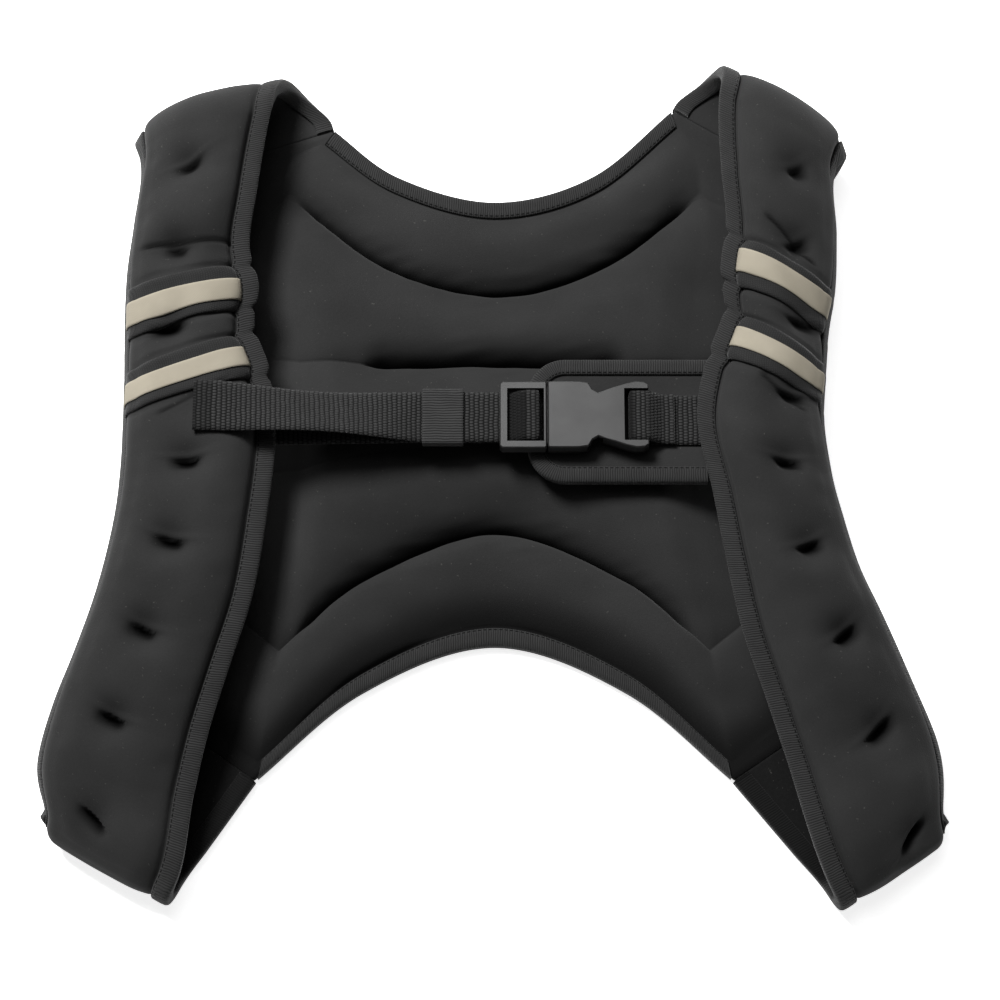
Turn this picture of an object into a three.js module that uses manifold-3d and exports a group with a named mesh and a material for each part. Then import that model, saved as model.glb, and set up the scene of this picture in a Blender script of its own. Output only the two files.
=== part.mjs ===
// A padded neoprene weight vest, lying on its back with its chest buckle closed.
// X runs to the left side of a wearer's back view, Y towards the neck, Z up from the back panel.
// Millimetres. The origin is the bottom centre of the whole.

import * as THREE from 'three';
import { mergeVertices } from 'three/addons/utils/BufferGeometryUtils.js';
import Module from 'manifold-3d';

const wasm = await Module();
wasm.setup();

// Overall sizes
const HALF_WIDTH = 221; // from the middle to the widest place of a front pad
const HALF_LENGTH = 206; // shares of it place everything along the vest
const CHEST_Y = 36.5; // the buckle's line
const PAD_RISE = 45; // seam line of a front pad at the shoulder, over the floor

// Cloth
const FLANGE = 4; // sewn edge of a pad
const BINDING_WIDTH = 8;
const BINDING_THICK = 1.2;
const GAP = 0.3; // between touching pieces
const FLOOR_GAP = 0.3;

// Front pads
const PAD_TOP = 12; // filling over the seam line
const PAD_UNDER = 7; // filling under it
const PAD_REACH = 22; // from the binding to the full filling
const PAD_CROWN = 4; // arch of the seam surface across a pad
const OUTER_DROP = 5; // the outer edge hangs lower than the inner edge
const FOLD_LIFT = 0.9; // the bottom fold ends this much above the back panel's edge
const OUTER_ROLL = 9; // and its last part rolls down by this
const ROLL_SHARE = 0.14; // of the pad's width
const OUTER_INSET = 4; // what the rolled outer binding covers, seen from above
const REAR_RISE = 9; // seam line behind the shoulder
const REAR_FLAT = 5; // level stretch between the shoulder fold and the back panel
const FLARE_LEFT = 29; // a pad's widening towards the neck, round the shoulder
const FLARE_RIGHT = 22;
const ROW_STEP = 14; // length of a pad's facets
const TUFT_DEPTH = 0.6; // share of the filling that a tuft pulls in
const TUFT_RADIUS = 12;
const BAND_SQUEEZE = 0.16; // share of the filling that a band pulls in
const WING_SWELL = 0.5; // the flat wing is thicker than a sewn edge by this, above and below

// Bands and reflective tapes on the pads
const BAND_THICK = 1.2;
const TAPE_THICK = 0.5;
const BAND_END_GAP = 0.6; // between a band's end and the binding

// Back panel
const BACK_HEIGHT = 22; // top of the puff over the floor
const BACK_REACH = 16; // from the binding to the full puff
const SLOT_SHARE = 0.33; // the short level seam's half length, as a share across the panel

// Webbing
const WEB_WIDTH = 25;
const WEB_THICK = 1.5;
const WEB_TUCK = 5.5; // how far webbing reaches under a pad's binding
const TAIL_LENGTH = 119; // of the loose webbing, from the keeper's middle
const TAIL_SWING = 0.6; // the loose end lies this much nearer the neck
const TAIL_TWIST = 24; // degrees, between the keeper and the pad
const KEEPER_LENGTH = 22;
const KEEPER_THICK = 1.2;
const KEEPER_AT = -25; // middle of the keeper, from the middle of the vest

// Flap behind the buckle
const FLAP_THICK = 3;
const FLAP_HEIGHT = 60; // along the vest
const FLAP_LEFT = 17.5; // its free end, from the middle of the vest
const FLAP_CORNER = 17;
const FLAP_TUCK = 5; // how far it reaches under the right pad's binding

// Buckle
const BUCKLE_LEFT = 2.5; // outer face of the ladder lock, from the middle of the vest
const BUCKLE_WIDTH = 33.5;
const LOCK_LENGTH = 23; // what shows of the male part
const RAIL = 3.4; // side rails of the ladder lock
const RAIL_HEIGHT = 8.6;
const LOCK_BAR = 3.6;
const BAR_WIDTH = 4.5; // the bar that the webbing runs round
const BAR_HEIGHT = 3.4;
const HEAD_LENGTH = 5; // the male part's root inside the mouth
const FEMALE_LENGTH = 49;
const FEMALE_HEIGHT = 11;
const MOUTH_HEIGHT = 5.6;
const MOUTH_WALL = 2.6; // beside the mouth
const MOUTH_DEPTH = 27;
const SLOT_LENGTH = 4;
const END_BAR = 5.6;
const PRONG_LENGTH = 21;
const PRONG_WIDTH = 5;
const TONGUE_WIDTH = 5;
const TONGUE_LENGTH = 17;
const PRONG_HEIGHT = 4.6;
const WAIST_CORNER = 0.5; // bevel on the buckle's edges

// Rows of a front pad from the shoulder to the bottom fold: the pad's outer and inner edges
// as shares of HALF_WIDTH and HALF_LENGTH, its height as a share of PAD_RISE, its filling.
const PAD_LEFT = [
  { outerX: 0.796, outerY: 0.850, innerX: 0.512, innerY: 0.950, rise: 1.0, fill: 0.75 },
  { outerX: 0.804, outerY: 0.672, innerX: 0.538, innerY: 0.750, rise: 1.0, fill: 1.0 },
  { outerX: 0.815, outerY: 0.538, innerX: 0.552, innerY: 0.590, rise: 0.98, fill: 1.0 },
  { outerX: 0.815, outerY: 0.425, innerX: 0.530, innerY: 0.499, rise: 0.96, fill: 0.9 },
  { outerX: 0.812, outerY: 0.300, innerX: 0.537, innerY: 0.400, rise: 0.93, fill: 0.9 },
  { outerX: 0.811, outerY: 0.180, innerX: 0.502, innerY: 0.290, rise: 0.91, fill: 0.95 },
  { outerX: 0.813, outerY: 0.068, innerX: 0.486, innerY: 0.120, rise: 0.89, fill: 1.0 },
  { outerX: 0.824, outerY: -0.060, innerX: 0.502, innerY: -0.077, rise: 0.87, fill: 1.0 },
  { outerX: 0.855, outerY: -0.218, innerX: 0.528, innerY: -0.252, rise: 0.82, fill: 1.0 },
  { outerX: 0.902, outerY: -0.376, innerX: 0.575, innerY: -0.418, rise: 0.76, fill: 1.0 },
  { outerX: 0.946, outerY: -0.500, innerX: 0.615, innerY: -0.559, rise: 0.67, fill: 0.9 },
  { outerX: 0.975, outerY: -0.617, innerX: 0.645, innerY: -0.704, rise: 0.58, fill: 0.75 },
  { outerX: 0.975, outerY: -0.745, innerX: 0.676, innerY: -0.895, rise: 0.49, fill: 0.5 },
];
const PAD_RIGHT = [
  { outerX: 0.766, outerY: 0.827, innerX: 0.516, innerY: 0.990, rise: 1.0, fill: 0.75 },
  { outerX: 0.760, outerY: 0.650, innerX: 0.515, innerY: 0.805, rise: 1.0, fill: 1.0 },
  { outerX: 0.751, outerY: 0.503, innerX: 0.523, innerY: 0.654, rise: 0.98, fill: 0.95 },
  { outerX: 0.734, outerY: 0.402, innerX: 0.509, innerY: 0.541, rise: 0.96, fill: 0.9 },
  { outerX: 0.725, outerY: 0.293, innerX: 0.514, innerY: 0.438, rise: 0.93, fill: 0.9 },
  { outerX: 0.718, outerY: 0.188, innerX: 0.474, innerY: 0.317, rise: 0.91, fill: 0.95 },
  { outerX: 0.729, outerY: 0.072, innerX: 0.451, innerY: 0.178, rise: 0.89, fill: 1.0 },
  { outerX: 0.752, outerY: -0.043, innerX: 0.482, innerY: -0.005, rise: 0.87, fill: 1.0 },
  { outerX: 0.785, outerY: -0.166, innerX: 0.507, innerY: -0.156, rise: 0.82, fill: 1.0 },
  { outerX: 0.835, outerY: -0.286, innerX: 0.539, innerY: -0.324, rise: 0.76, fill: 1.0 },
  { outerX: 0.892, outerY: -0.430, innerX: 0.586, innerY: -0.477, rise: 0.67, fill: 0.95 },
  { outerX: 0.943, outerY: -0.567, innerX: 0.626, innerY: -0.611, rise: 0.60, fill: 0.8 },
  { outerX: 0.975, outerY: -0.758, innerX: 0.715, innerY: -0.908, rise: 0.49, fill: 0.5 },
];

// Bands and tapes: the row number of their middle and half their length in rows.
const BANDS_LEFT = [
  { name: 'upper', row: 3.02, half: 0.52, tapeRow: 3.06, tapeHalf: 0.25 },
  { name: 'lower', row: 4.65, half: 0.44, tapeRow: 4.67, tapeHalf: 0.21 },
];
const BANDS_RIGHT = [
  { name: 'upper', row: 2.76, half: 0.50, tapeRow: 2.68, tapeHalf: 0.25 },
  { name: 'lower', row: 4.45, half: 0.45, tapeRow: 4.43, tapeHalf: 0.21 },
];

// Tufts: the row number, and the share across from the outer to the inner edge.
const TUFTS_LEFT = [
  { row: 0.59, across: 0.46 },
  { row: 1.92, across: 0.46 },
  { row: 3.62, across: 0.38 },
  { row: 6.25, across: 0.44 },
  { row: 7.4, across: 0.45 },
  { row: 8.6, across: 0.43 },
  { row: 10.1, across: 0.41 },
  { row: 11.75, across: 0.42 },
];
const TUFTS_RIGHT = [
  { row: 0.66, across: 0.38 },
  { row: 1.86, across: 0.40 },
  { row: 3.3, across: 0.30 },
  { row: 6.4, across: 0.40 },
  { row: 7.85, across: 0.40 },
  { row: 9.35, across: 0.36 },
  { row: 10.9, across: 0.40 },
  { row: 11.9, across: 0.34 },
];

// Back panel, row by row from the neckline to the hem: its outer edge, the corner where a pad or
// wing is sewn on, a place between that and the middle, and the middle, as shares of HALF_WIDTH
// and HALF_LENGTH; the height at the row and the swell after it as shares of BACK_HEIGHT.
// The neckline's outer part follows the shoulders.
const BACK = [
  { outerX: 0.80, outerY: 0.80, cornerX: 0.44, cornerY: 1.04, betweenX: 0.225, betweenY: 0.84,
    middleY: 0.773, height: 0.41, swell: 0.36 },
  { outerX: 0.64, outerY: 0.66, cornerX: 0.475, cornerY: 0.80, betweenX: 0.25, betweenY: 0.616,
    middleY: 0.541, height: 0.40, swell: 0.42 },
  { outerX: 0.585, outerY: 0.39, cornerX: 0.437, cornerY: 0.355, betweenX: 0.223, betweenY: 0.348,
    middleY: 0.348, height: 0.72, swell: 0.20 },
  { outerX: 0.555, outerY: 0.08, cornerX: 0.431, cornerY: 0.08, betweenX: 0.232, betweenY: 0.12,
    middleY: 0.135, height: 1.0, swell: 0.08 },
  { outerX: 0.635, outerY: -0.21, cornerX: 0.472, cornerY: -0.353, betweenX: 0.285, betweenY: -0.178,
    middleY: -0.066, height: 0.46, swell: 0.22 },
  { outerX: 0.783, outerY: -0.463, cornerX: 0.521, cornerY: -0.653, betweenX: 0.288, betweenY: -0.440,
    middleY: -0.330, height: 0.21, swell: 0 },
];
// The panel's grid lines between its rows; 'first' and 'last' lie one binding width inside.
const BACK_ROWS = [0, 'first', 0.2, 0.5, 0.82, 1, 1.16, 1.45, 1.8, 1.92, 2, 2.08, 2.35, 2.75, 3.2,
  3.65, 3.88, 4, 4.18, 4.6, 'last', 5];
const BACK_COLUMNS = [1, 'edge', 0.8, 0.65, 0.5, 0.49, 0.4, 0.3, 0.2, 0.1, 0];

// The female part's outline, half of it: shares of FEMALE_LENGTH from the mouth and of BUCKLE_WIDTH.
const FEMALE_OUTLINE = [
  { along: 0, half: 0.485 },
  { along: 0.02, half: 0.5 },
  { along: 0.30, half: 0.5 },
  { along: 0.40, half: 0.48 },
  { along: 0.44, half: 0.38 },
  { along: 0.50, half: 0.33 },
  { along: 0.56, half: 0.36 },
  { along: 0.66, half: 0.41 },
  { along: 0.78, half: 0.47 },
  { along: 0.88, half: 0.50 },
  { along: 0.96, half: 0.49 },
  { along: 1, half: 0.45 },
];

const EDGE_Z = FLANGE / 2 + GAP + BINDING_THICK + FLOOR_GAP; // seam line of what lies on the floor
const BINDING_HALF = FLANGE / 2 + GAP + BINDING_THICK;

const mix = (a, b, f) => a + (b - a) * f;
const clamp01 = (value) => Math.min(1, Math.max(0, value));
const roundOff = (value) => Math.sqrt(1 - (1 - clamp01(value)) ** 2);
const vec = (x, y, z) => new THREE.Vector3(x, y, z);
const degrees = (value) => value * Math.PI / 180;

function material(color, roughness, metalness = 0) {
  return new THREE.MeshStandardMaterial({ color, roughness, metalness });
}

const group = new THREE.Group();
const meshes = {};

// Adds a closed mesh from points and triangles, with its faces turned outwards.
function addSolid(name, points, triangles, color, roughness) {
  let volume = 0;
  for (const [a, b, c] of triangles) {
    volume += points[a].dot(points[b].clone().cross(points[c])) / 6;
  }
  const index = triangles.flatMap(([a, b, c]) => (volume > 0 ? [a, b, c] : [a, c, b]));
  const geometry = new THREE.BufferGeometry();
  const positions = new Float32Array(points.flatMap((p) => [p.x, p.y, p.z]));
  geometry.setAttribute('position', new THREE.BufferAttribute(positions, 3));
  geometry.setIndex(index);
  return addMesh(name, geometry, color, roughness);
}

function addMesh(name, geometry, color, roughness) {
  const mesh = new THREE.Mesh(geometry, material(color, roughness));
  mesh.name = name;
  mesh.updateMatrixWorld();
  meshes[name] = mesh;
  group.add(mesh);
  return mesh;
}

// A slab between two grids of points, an upper one and a lower one.
function addSlab(name, upper, lower, color, roughness) {
  const rows = upper.length;
  const columns = upper[0].length;
  const points = [...upper.flat(), ...lower.flat()];
  const top = (i, j) => i * columns + j;
  const under = (i, j) => rows * columns + i * columns + j;
  const triangles = [];
  const quad = (a, b, c, d) => triangles.push([a, b, c], [a, c, d]);
  for (let i = 0; i < rows - 1; i += 1) {
    for (let j = 0; j < columns - 1; j += 1) {
      quad(top(i, j), top(i, j + 1), top(i + 1, j + 1), top(i + 1, j));
      quad(under(i, j), under(i + 1, j), under(i + 1, j + 1), under(i, j + 1));
    }
    quad(top(i, 0), top(i + 1, 0), under(i + 1, 0), under(i, 0));
    quad(top(i, columns - 1), under(i, columns - 1), under(i + 1, columns - 1), top(i + 1, columns - 1));
  }
  for (let j = 0; j < columns - 1; j += 1) {
    quad(top(0, j), under(0, j), under(0, j + 1), top(0, j + 1));
    quad(top(rows - 1, j), top(rows - 1, j + 1), under(rows - 1, j + 1), under(rows - 1, j));
  }
  return addSolid(name, points, triangles, color, roughness);
}

// A binding folded round an edge. Each station has the edge's middle, a place on the seam surface
// one binding width inside, and the surface's direction at both.
function addBinding(name, stations, edgeFirst) {
  const inside = FLANGE / 2 + GAP;
  const points = stations.flatMap(({ edge, inner, up, innerUp = up }) => {
    const out = edge.clone().sub(inner).normalize();
    const at = (base, outwards, lift) => {
      return base.clone().addScaledVector(out, outwards).addScaledVector(base === edge ? up : innerUp, lift);
    };
    return [
      at(inner, 2 * GAP, BINDING_HALF),
      at(edge, GAP + BINDING_THICK, BINDING_HALF),
      at(edge, GAP + BINDING_THICK, -BINDING_HALF),
      at(inner, 2 * GAP, -BINDING_HALF),
      at(inner, 2 * GAP, -inside),
      at(edge, GAP, -inside),
      at(edge, GAP, inside),
      at(inner, 2 * GAP, inside),
    ];
  });
  return addChannel(name, points, edgeFirst ? [4, 5] : [5, 6]);
}

// A channel of eight points at each station; the sides in flipped are split along the other
// diagonal, as the cloth inside is.
function addChannel(name, points, flipped = []) {
  const triangles = [];
  const quad = (a, b, c, d) => triangles.push([a, b, c], [a, c, d]);
  const last = points.length - 8;
  for (let i = 0; i < last; i += 8) {
    for (let j = 0; j < 8; j += 1) {
      const next = (j + 1) % 8;
      if (flipped.includes(j)) {
        quad(i + next, i + 8 + next, i + 8 + j, i + j);
      } else {
        quad(i + j, i + next, i + 8 + next, i + 8 + j);
      }
    }
  }
  for (const [a, b, c, d] of [[0, 7, 6, 1], [1, 6, 5, 2], [2, 5, 4, 3]]) {
    quad(a, b, c, d);
    quad(last + a, last + d, last + c, last + b);
  }
  return addSolid(name, points, triangles, 0x3c3c3c, 0.85);
}

// Front pads and side wings

// Smooth value through the stations, evenly fast along each stretch; level never overshoots.
function through(values, knots, t, level = false) {
  const i = Math.min(Math.max(Math.floor(t), 0), values.length - 2);
  const f = t - i;
  const slope = (k) => {
    if (k === 0 || k === values.length - 1) {
      const j = k === 0 ? 0 : k - 1;
      return (values[j + 1] - values[j]) / (knots[j + 1] - knots[j]);
    }
    const before = knots[k] - knots[k - 1];
    const after = knots[k + 1] - knots[k];
    const back = (values[k] - values[k - 1]) / before;
    const ahead = (values[k + 1] - values[k]) / after;
    if (level && back * ahead <= 0) {
      return 0;
    }
    return (back * after + ahead * before) / (before + after);
  };
  const length = knots[i + 1] - knots[i];
  const f2 = f * f;
  const f3 = f2 * f;
  return (2 * f3 - 3 * f2 + 1) * values[i] + (f3 - 2 * f2 + f) * length * slope(i)
    + (3 * f2 - 2 * f3) * values[i + 1] + (f3 - f2) * length * slope(i + 1);
}

const FOLD_STEPS = 4; // stations round each fold
const FIRST_ROW = FOLD_STEPS + 1; // the station of a pad table's first row

function makePad(side, table, bands, tufts, backHem, shoulderFlare) {
  const rows = table.map((row) => ({
    outer: vec(side * row.outerX * HALF_WIDTH, row.outerY * HALF_LENGTH, row.rise * PAD_RISE - OUTER_DROP),
    inner: vec(side * row.innerX * HALF_WIDTH, row.innerY * HALF_LENGTH, row.rise * PAD_RISE),
    fill: row.fill,
  }));
  const foldOf = (row, endZ, towards, angle, flare, fill) => {
    const across = row.inner.clone().sub(row.outer).setZ(0).normalize();
    const away = vec(-across.y, across.x, 0);
    if (away.y * towards < 0) {
      away.negate();
    }
    const bend = (point) => {
      const radius = (point.z - endZ) / 2;
      const moved = point.clone().addScaledVector(away, radius * Math.sin(angle));
      return moved.setZ(endZ + radius + radius * Math.cos(angle));
    };
    return { outer: bend(row.outer), inner: bend(row.inner).addScaledVector(across, flare), fill };
  };
  const stations = [];
  for (let k = 0; k < FOLD_STEPS; k += 1) {
    const share = (FOLD_STEPS - k) / FOLD_STEPS;
    const fill = rows[0].fill * (1 - share) ** 2;
    stations.push(foldOf(rows[0], REAR_RISE, 1, Math.PI * share, shoulderFlare * share, fill));
  }
  const rear = stations[0];
  const towardsBack = rows[0].inner.clone().sub(rows[0].outer).setZ(0).normalize();
  const back = vec(side * towardsBack.y, -side * towardsBack.x, 0).multiplyScalar(REAR_FLAT);
  if (back.y > 0) {
    back.negate();
  }
  stations.unshift({ outer: rear.outer.clone().add(back), inner: rear.inner.clone().add(back), fill: 0 });
  stations.push(...rows);
  const lastRow = rows[rows.length - 1];
  const wingFill = WING_SWELL / PAD_TOP;
  for (let k = 1; k <= FOLD_STEPS; k += 1) {
    const share = k / FOLD_STEPS;
    const fill = mix(lastRow.fill, wingFill, Math.min(1, share * 1.4));
    stations.push(foldOf(lastRow, EDGE_Z + FOLD_LIFT, -1, Math.PI * share, 0, fill));
  }
  const turned = stations[stations.length - 1];
  const hemOuter = vec(side * backHem.outerX * HALF_WIDTH, backHem.outerY * HALF_LENGTH, EDGE_Z);
  const hemInner = vec(side * backHem.cornerX * HALF_WIDTH, backHem.cornerY * HALF_LENGTH, EDGE_Z);
  for (const share of [0.33, 0.66, 1]) {
    stations.push({
      outer: turned.outer.clone().lerp(hemOuter, share),
      inner: turned.inner.clone().lerp(hemInner, share),
      fill: wingFill,
    });
  }
  const knots = [0];
  for (let k = 1; k < stations.length; k += 1) {
    const middle = (station) => station.outer.clone().add(station.inner).multiplyScalar(0.5);
    knots.push(knots[k - 1] + middle(stations[k]).distanceTo(middle(stations[k - 1])));
  }
  const columns = {};
  for (const rail of ['outer', 'inner']) {
    for (const axis of ['x', 'y', 'z']) {
      columns[rail + axis] = stations.map((station) => station[rail][axis]);
    }
  }
  columns.fill = stations.map((station) => station.fill);
  const value = (key, t) => through(columns[key], knots, t, key === 'fill' || key.endsWith('z'));
  const rail = (name, t) => vec(value(`${name}x`, t), value(`${name}y`, t), value(`${name}z`, t));
  const turn = FIRST_ROW + table.length - 1 + FOLD_STEPS; // station where the wing starts
  const pad = { side, stations, knots, rail, bands, turn, last: stations.length - 1 };

  const ruled = (t, s) => rail('outer', t).lerp(rail('inner', t), s);
  const flow = (t) => {
    const step = 0.04;
    const a = Math.max(0, t - step);
    const b = Math.min(pad.last, t + step);
    return ruled(b, 0.5).sub(ruled(a, 0.5));
  };
  const crownAt = (t) => {
    const start = clamp01((t - 1) / FOLD_STEPS);
    const end = clamp01((turn - FOLD_STEPS - t) / 2 + 0.5);
    return PAD_CROWN * start * end;
  };
  pad.mid = (t, s) => {
    const across = rail('inner', t).sub(rail('outer', t));
    const up = flow(t).cross(across).normalize().multiplyScalar(side < 0 ? 1 : -1);
    const roll = crownAt(t) / PAD_CROWN * OUTER_ROLL * clamp01((ROLL_SHARE - s) / ROLL_SHARE) ** 2;
    return ruled(t, s).addScaledVector(up, crownAt(t) * 4 * s * (1 - s) - roll);
  };
  const normalOf = (surface, t, s) => {
    const dt = 0.05;
    const ds = 0.01;
    const a = surface(Math.max(0, t - dt), s);
    const b = surface(Math.min(pad.last, t + dt), s);
    const c = surface(t, Math.max(0, s - ds));
    const d = surface(t, Math.min(1, s + ds));
    return b.sub(a).cross(d.sub(c)).normalize().multiplyScalar(side < 0 ? 1 : -1);
  };
  pad.up = (t, s) => normalOf(pad.mid, t, s);
  pad.width = (t) => rail('outer', t).distanceTo(rail('inner', t));
  // What the bindings cover at both edges, as shares across the pad.
  pad.insets = (t) => {
    const outer = mix(BINDING_WIDTH, OUTER_INSET, crownAt(t) / PAD_CROWN);
    return [outer / pad.width(t), BINDING_WIDTH / pad.width(t)];
  };
  const tuftPlaces = tufts.map(({ row, across }) => pad.mid(FIRST_ROW + row, across));
  const filling = (t, s) => {
    const middle = pad.mid(t, s);
    const [outer, inner] = pad.insets(t);
    const edge = Math.min(s - outer, 1 - s - inner) * pad.width(t);
    let share = value('fill', t) * roundOff((edge - BAND_END_GAP) / PAD_REACH);
    for (const place of tuftPlaces) {
      share *= 1 - TUFT_DEPTH * Math.exp(-((middle.distanceTo(place) / TUFT_RADIUS) ** 2));
    }
    for (const band of bands) {
      const far = (t - FIRST_ROW - band.row) / band.half;
      share *= 1 - BAND_SQUEEZE * Math.exp(-(far ** 4));
    }
    return share;
  };
  pad.top = (t, s) => pad.mid(t, s).addScaledVector(pad.up(t, s), FLANGE / 2 + PAD_TOP * filling(t, s));
  pad.under = (t, s) => {
    const depth = t > turn - 0.001 ? PAD_TOP : PAD_UNDER;
    return pad.mid(t, s).addScaledVector(pad.up(t, s), -FLANGE / 2 - depth * filling(t, s));
  };
  pad.skin = (t, s, lift, atEnd) => {
    return pad.top(t, s).addScaledVector(atEnd ? pad.up(t, s) : normalOf(pad.top, t, s), lift);
  };

  const wanted = [0, turn, pad.last];
  for (const band of bands) {
    for (const [centre, half] of [[band.row, band.half], [band.tapeRow, band.tapeHalf]]) {
      wanted.push(FIRST_ROW + centre - half, FIRST_ROW + centre + half);
    }
  }
  const lengthAt = (t) => {
    const i = Math.min(Math.floor(t), knots.length - 2);
    return mix(knots[i], knots[i + 1], t - i);
  };
  pad.rows = [...wanted];
  for (let k = 0; k < stations.length - 1; k += 1) {
    const parts = Math.max(1, Math.round((knots[k + 1] - knots[k]) / ROW_STEP));
    for (let part = 0; part < parts; part += 1) {
      const t = k + part / parts;
      if (wanted.every((other) => Math.abs(lengthAt(other) - lengthAt(t)) > ROW_STEP * 0.3)) {
        pad.rows.push(t);
      }
    }
  }
  pad.rows.sort((a, b) => a - b);
  pad.shares = (t) => {
    const [outer, inner] = pad.insets(t);
    const clear = BAND_END_GAP / pad.width(t);
    const inside = [0, 0.1, 0.27, 0.5, 0.73, 0.9, 1].map((f) => mix(outer + clear, 1 - inner - clear, f));
    return [0, outer, ...inside, 1 - inner, 1];
  };
  return pad;
}

const NEOPRENE = 0x2c2c2e;
const hem = BACK[BACK.length - 1];
const padLeft = makePad(-1, PAD_LEFT, BANDS_LEFT, TUFTS_LEFT, hem, FLARE_LEFT);
const padRight = makePad(1, PAD_RIGHT, BANDS_RIGHT, TUFTS_RIGHT, hem, FLARE_RIGHT);

function addPad(pad, word) {
  const gapRows = (rows, from, to) => rows.map((t) => Math.min(Math.max(t, from), to));
  const stretch = (k) => GAP / (pad.knots[k + 1] - pad.knots[k]);
  const padRows = pad.rows.filter((t) => t <= pad.turn);
  const wingRows = gapRows(
    pad.rows.filter((t) => t >= pad.turn),
    pad.turn + stretch(pad.turn),
    pad.last - stretch(pad.last - 1),
  );
  const grid = (rows, surface) => rows.map((t) => pad.shares(t).map((s) => surface(t, s)));
  addSlab(`front_pad_${word}`, grid(padRows, pad.top), grid(padRows, pad.under), NEOPRENE, 0.95);
  addSlab(`side_wing_${word}`, grid(wingRows, pad.top), grid(wingRows, pad.under), NEOPRENE, 0.95);

  const bindingRows = gapRows(pad.rows, 0.1, pad.last - 3 * stretch(pad.last - 1));
  for (const [rail, edgeShare] of [['outer', 0], ['inner', 1]]) {
    const stations = bindingRows.map((t) => {
      const inset = Math.abs(edgeShare - pad.insets(t)[edgeShare]);
      const inner = pad.mid(t, inset);
      const innerUp = pad.up(t, inset);
      return { edge: pad.mid(t, edgeShare), inner, up: pad.up(t, edgeShare), innerUp };
    });
    addBinding(`${rail}_binding_${word}`, stations, edgeShare === 0);
  }

  const patch = (name, centre, half, lift, thick, color, roughness) => {
    const low = FIRST_ROW + centre - half - 0.0001;
    const high = FIRST_ROW + centre + half + 0.0001;
    const rows = pad.rows.filter((t) => t >= low && t <= high);
    const layer = (height) => rows.map((t) => pad.shares(t).slice(2, -2).map((s, k, all) => {
      return pad.skin(t, s, height, k === 0 || k === all.length - 1);
    }));
    addSlab(name, layer(lift + thick), layer(lift), color, roughness);
  };
  for (const band of pad.bands) {
    patch(`stripe_band_${word}_${band.name}`, band.row, band.half, GAP, BAND_THICK, 0x303030, 0.8);
    patch(`reflective_tape_${word}_${band.name}`, band.tapeRow, band.tapeHalf,
      2 * GAP + BAND_THICK, TAPE_THICK, 0xb2ab99, 0.45);
  }
}
addPad(padLeft, 'left');
addPad(padRight, 'right');

// Back panel

function backPlace(row, place, side) {
  const entry = BACK[row];
  const pad = side < 0 ? padLeft : padRight;
  if (row === 0 && place !== 'between' && place !== 'middle') {
    const across = pad.rail('inner', 0).sub(pad.rail('outer', 0)).setZ(0).normalize();
    const away = vec(side * across.y, -side * across.x, 0);
    const point = pad.rail(place === 'outer' ? 'outer' : 'inner', 0);
    return point.addScaledVector(away.y > 0 ? away.negate() : away, GAP);
  }
  const x = place === 'middle' ? 0 : entry[`${place}X`];
  return vec(side * x * HALF_WIDTH, entry[`${place}Y`] * HALF_LENGTH, 0);
}

// A place along one row of the table; u runs from -1 at the left edge to 1 at the right edge.
function backAcross(row, u) {
  const side = u < 0 ? -1 : 1;
  const a = Math.abs(u);
  const corner = backPlace(row, 'corner', side);
  if (a >= 0.5) {
    return corner.lerp(backPlace(row, 'outer', side), (a - 0.5) / 0.5);
  }
  const between = backPlace(row, 'between', side);
  const middle = backPlace(row, 'middle', side);
  const other = backPlace(row, 'between', -side);
  const beyond = corner.clone().multiplyScalar(2).sub(between);
  const list = [beyond, corner, between, middle, other];
  const f = (0.5 - a) / 0.25;
  const i = Math.min(1, Math.floor(f));
  const curve = (axis) => {
    const [p, q, r, w] = list.slice(i, i + 4).map((point) => point[axis]);
    const g = f - i;
    return q + 0.5 * g * (r - p + g * (2 * p - 5 * q + 4 * r - w + g * (3 * (q - r) + w - p)));
  };
  return vec(curve('x'), curve('y'), 0);
}

function backPlan(u, v) {
  const i = Math.min(BACK.length - 2, Math.floor(v));
  const g = v - i;
  const at = (row) => backAcross(row, u);
  const q = at(i);
  const r = at(i + 1);
  const p = i > 0 ? at(i - 1) : q.clone().multiplyScalar(2).sub(r);
  const w = i < BACK.length - 2 ? at(i + 2) : r.clone().multiplyScalar(2).sub(q);
  const curve = (axis) => q[axis] + 0.5 * g * (r[axis] - p[axis] + g * (2 * p[axis] - 5 * q[axis]
    + 4 * r[axis] - w[axis] + g * (3 * (q[axis] - r[axis]) + w[axis] - p[axis])));
  return vec(curve('x'), curve('y'), 0);
}

const LAST_ROW = BACK.length - 1;
const backSeam = (v) => mix(REAR_RISE, EDGE_Z, clamp01(v / 3));

function backHeight(u, v) {
  const i = Math.min(BACK.length - 2, Math.floor(v));
  const g = v - i;
  const a = Math.abs(u);
  let height = mix(BACK[i].height, BACK[i + 1].height, g) + BACK[i].swell * Math.sin(Math.PI * g) ** 0.8;
  if (a > SLOT_SHARE) {
    height += 0.14 * Math.exp(-(((v - 2) / 0.3) ** 2)) * clamp01((a - SLOT_SHARE) / 0.08);
  }
  return BACK_HEIGHT * height * (1 - 0.5 * clamp01((a - 0.5) / 0.5));
}

function backPuff(u, v) {
  const here = backPlan(u, v);
  const side = u < 0 ? -1 : 1;
  const reach = (place) => {
    return roundOff((here.distanceTo(place) - BINDING_WIDTH - 2 * GAP) / BACK_REACH);
  };
  return reach(backPlan(u, 0)) * reach(backPlan(u, LAST_ROW)) * reach(backPlan(side, v));
}

function backTop(u, v) {
  const seam = backSeam(v) + FLANGE / 2;
  return backPlan(u, v).setZ(seam + backPuff(u, v) * Math.max(0, backHeight(u, v) - seam));
}

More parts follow.
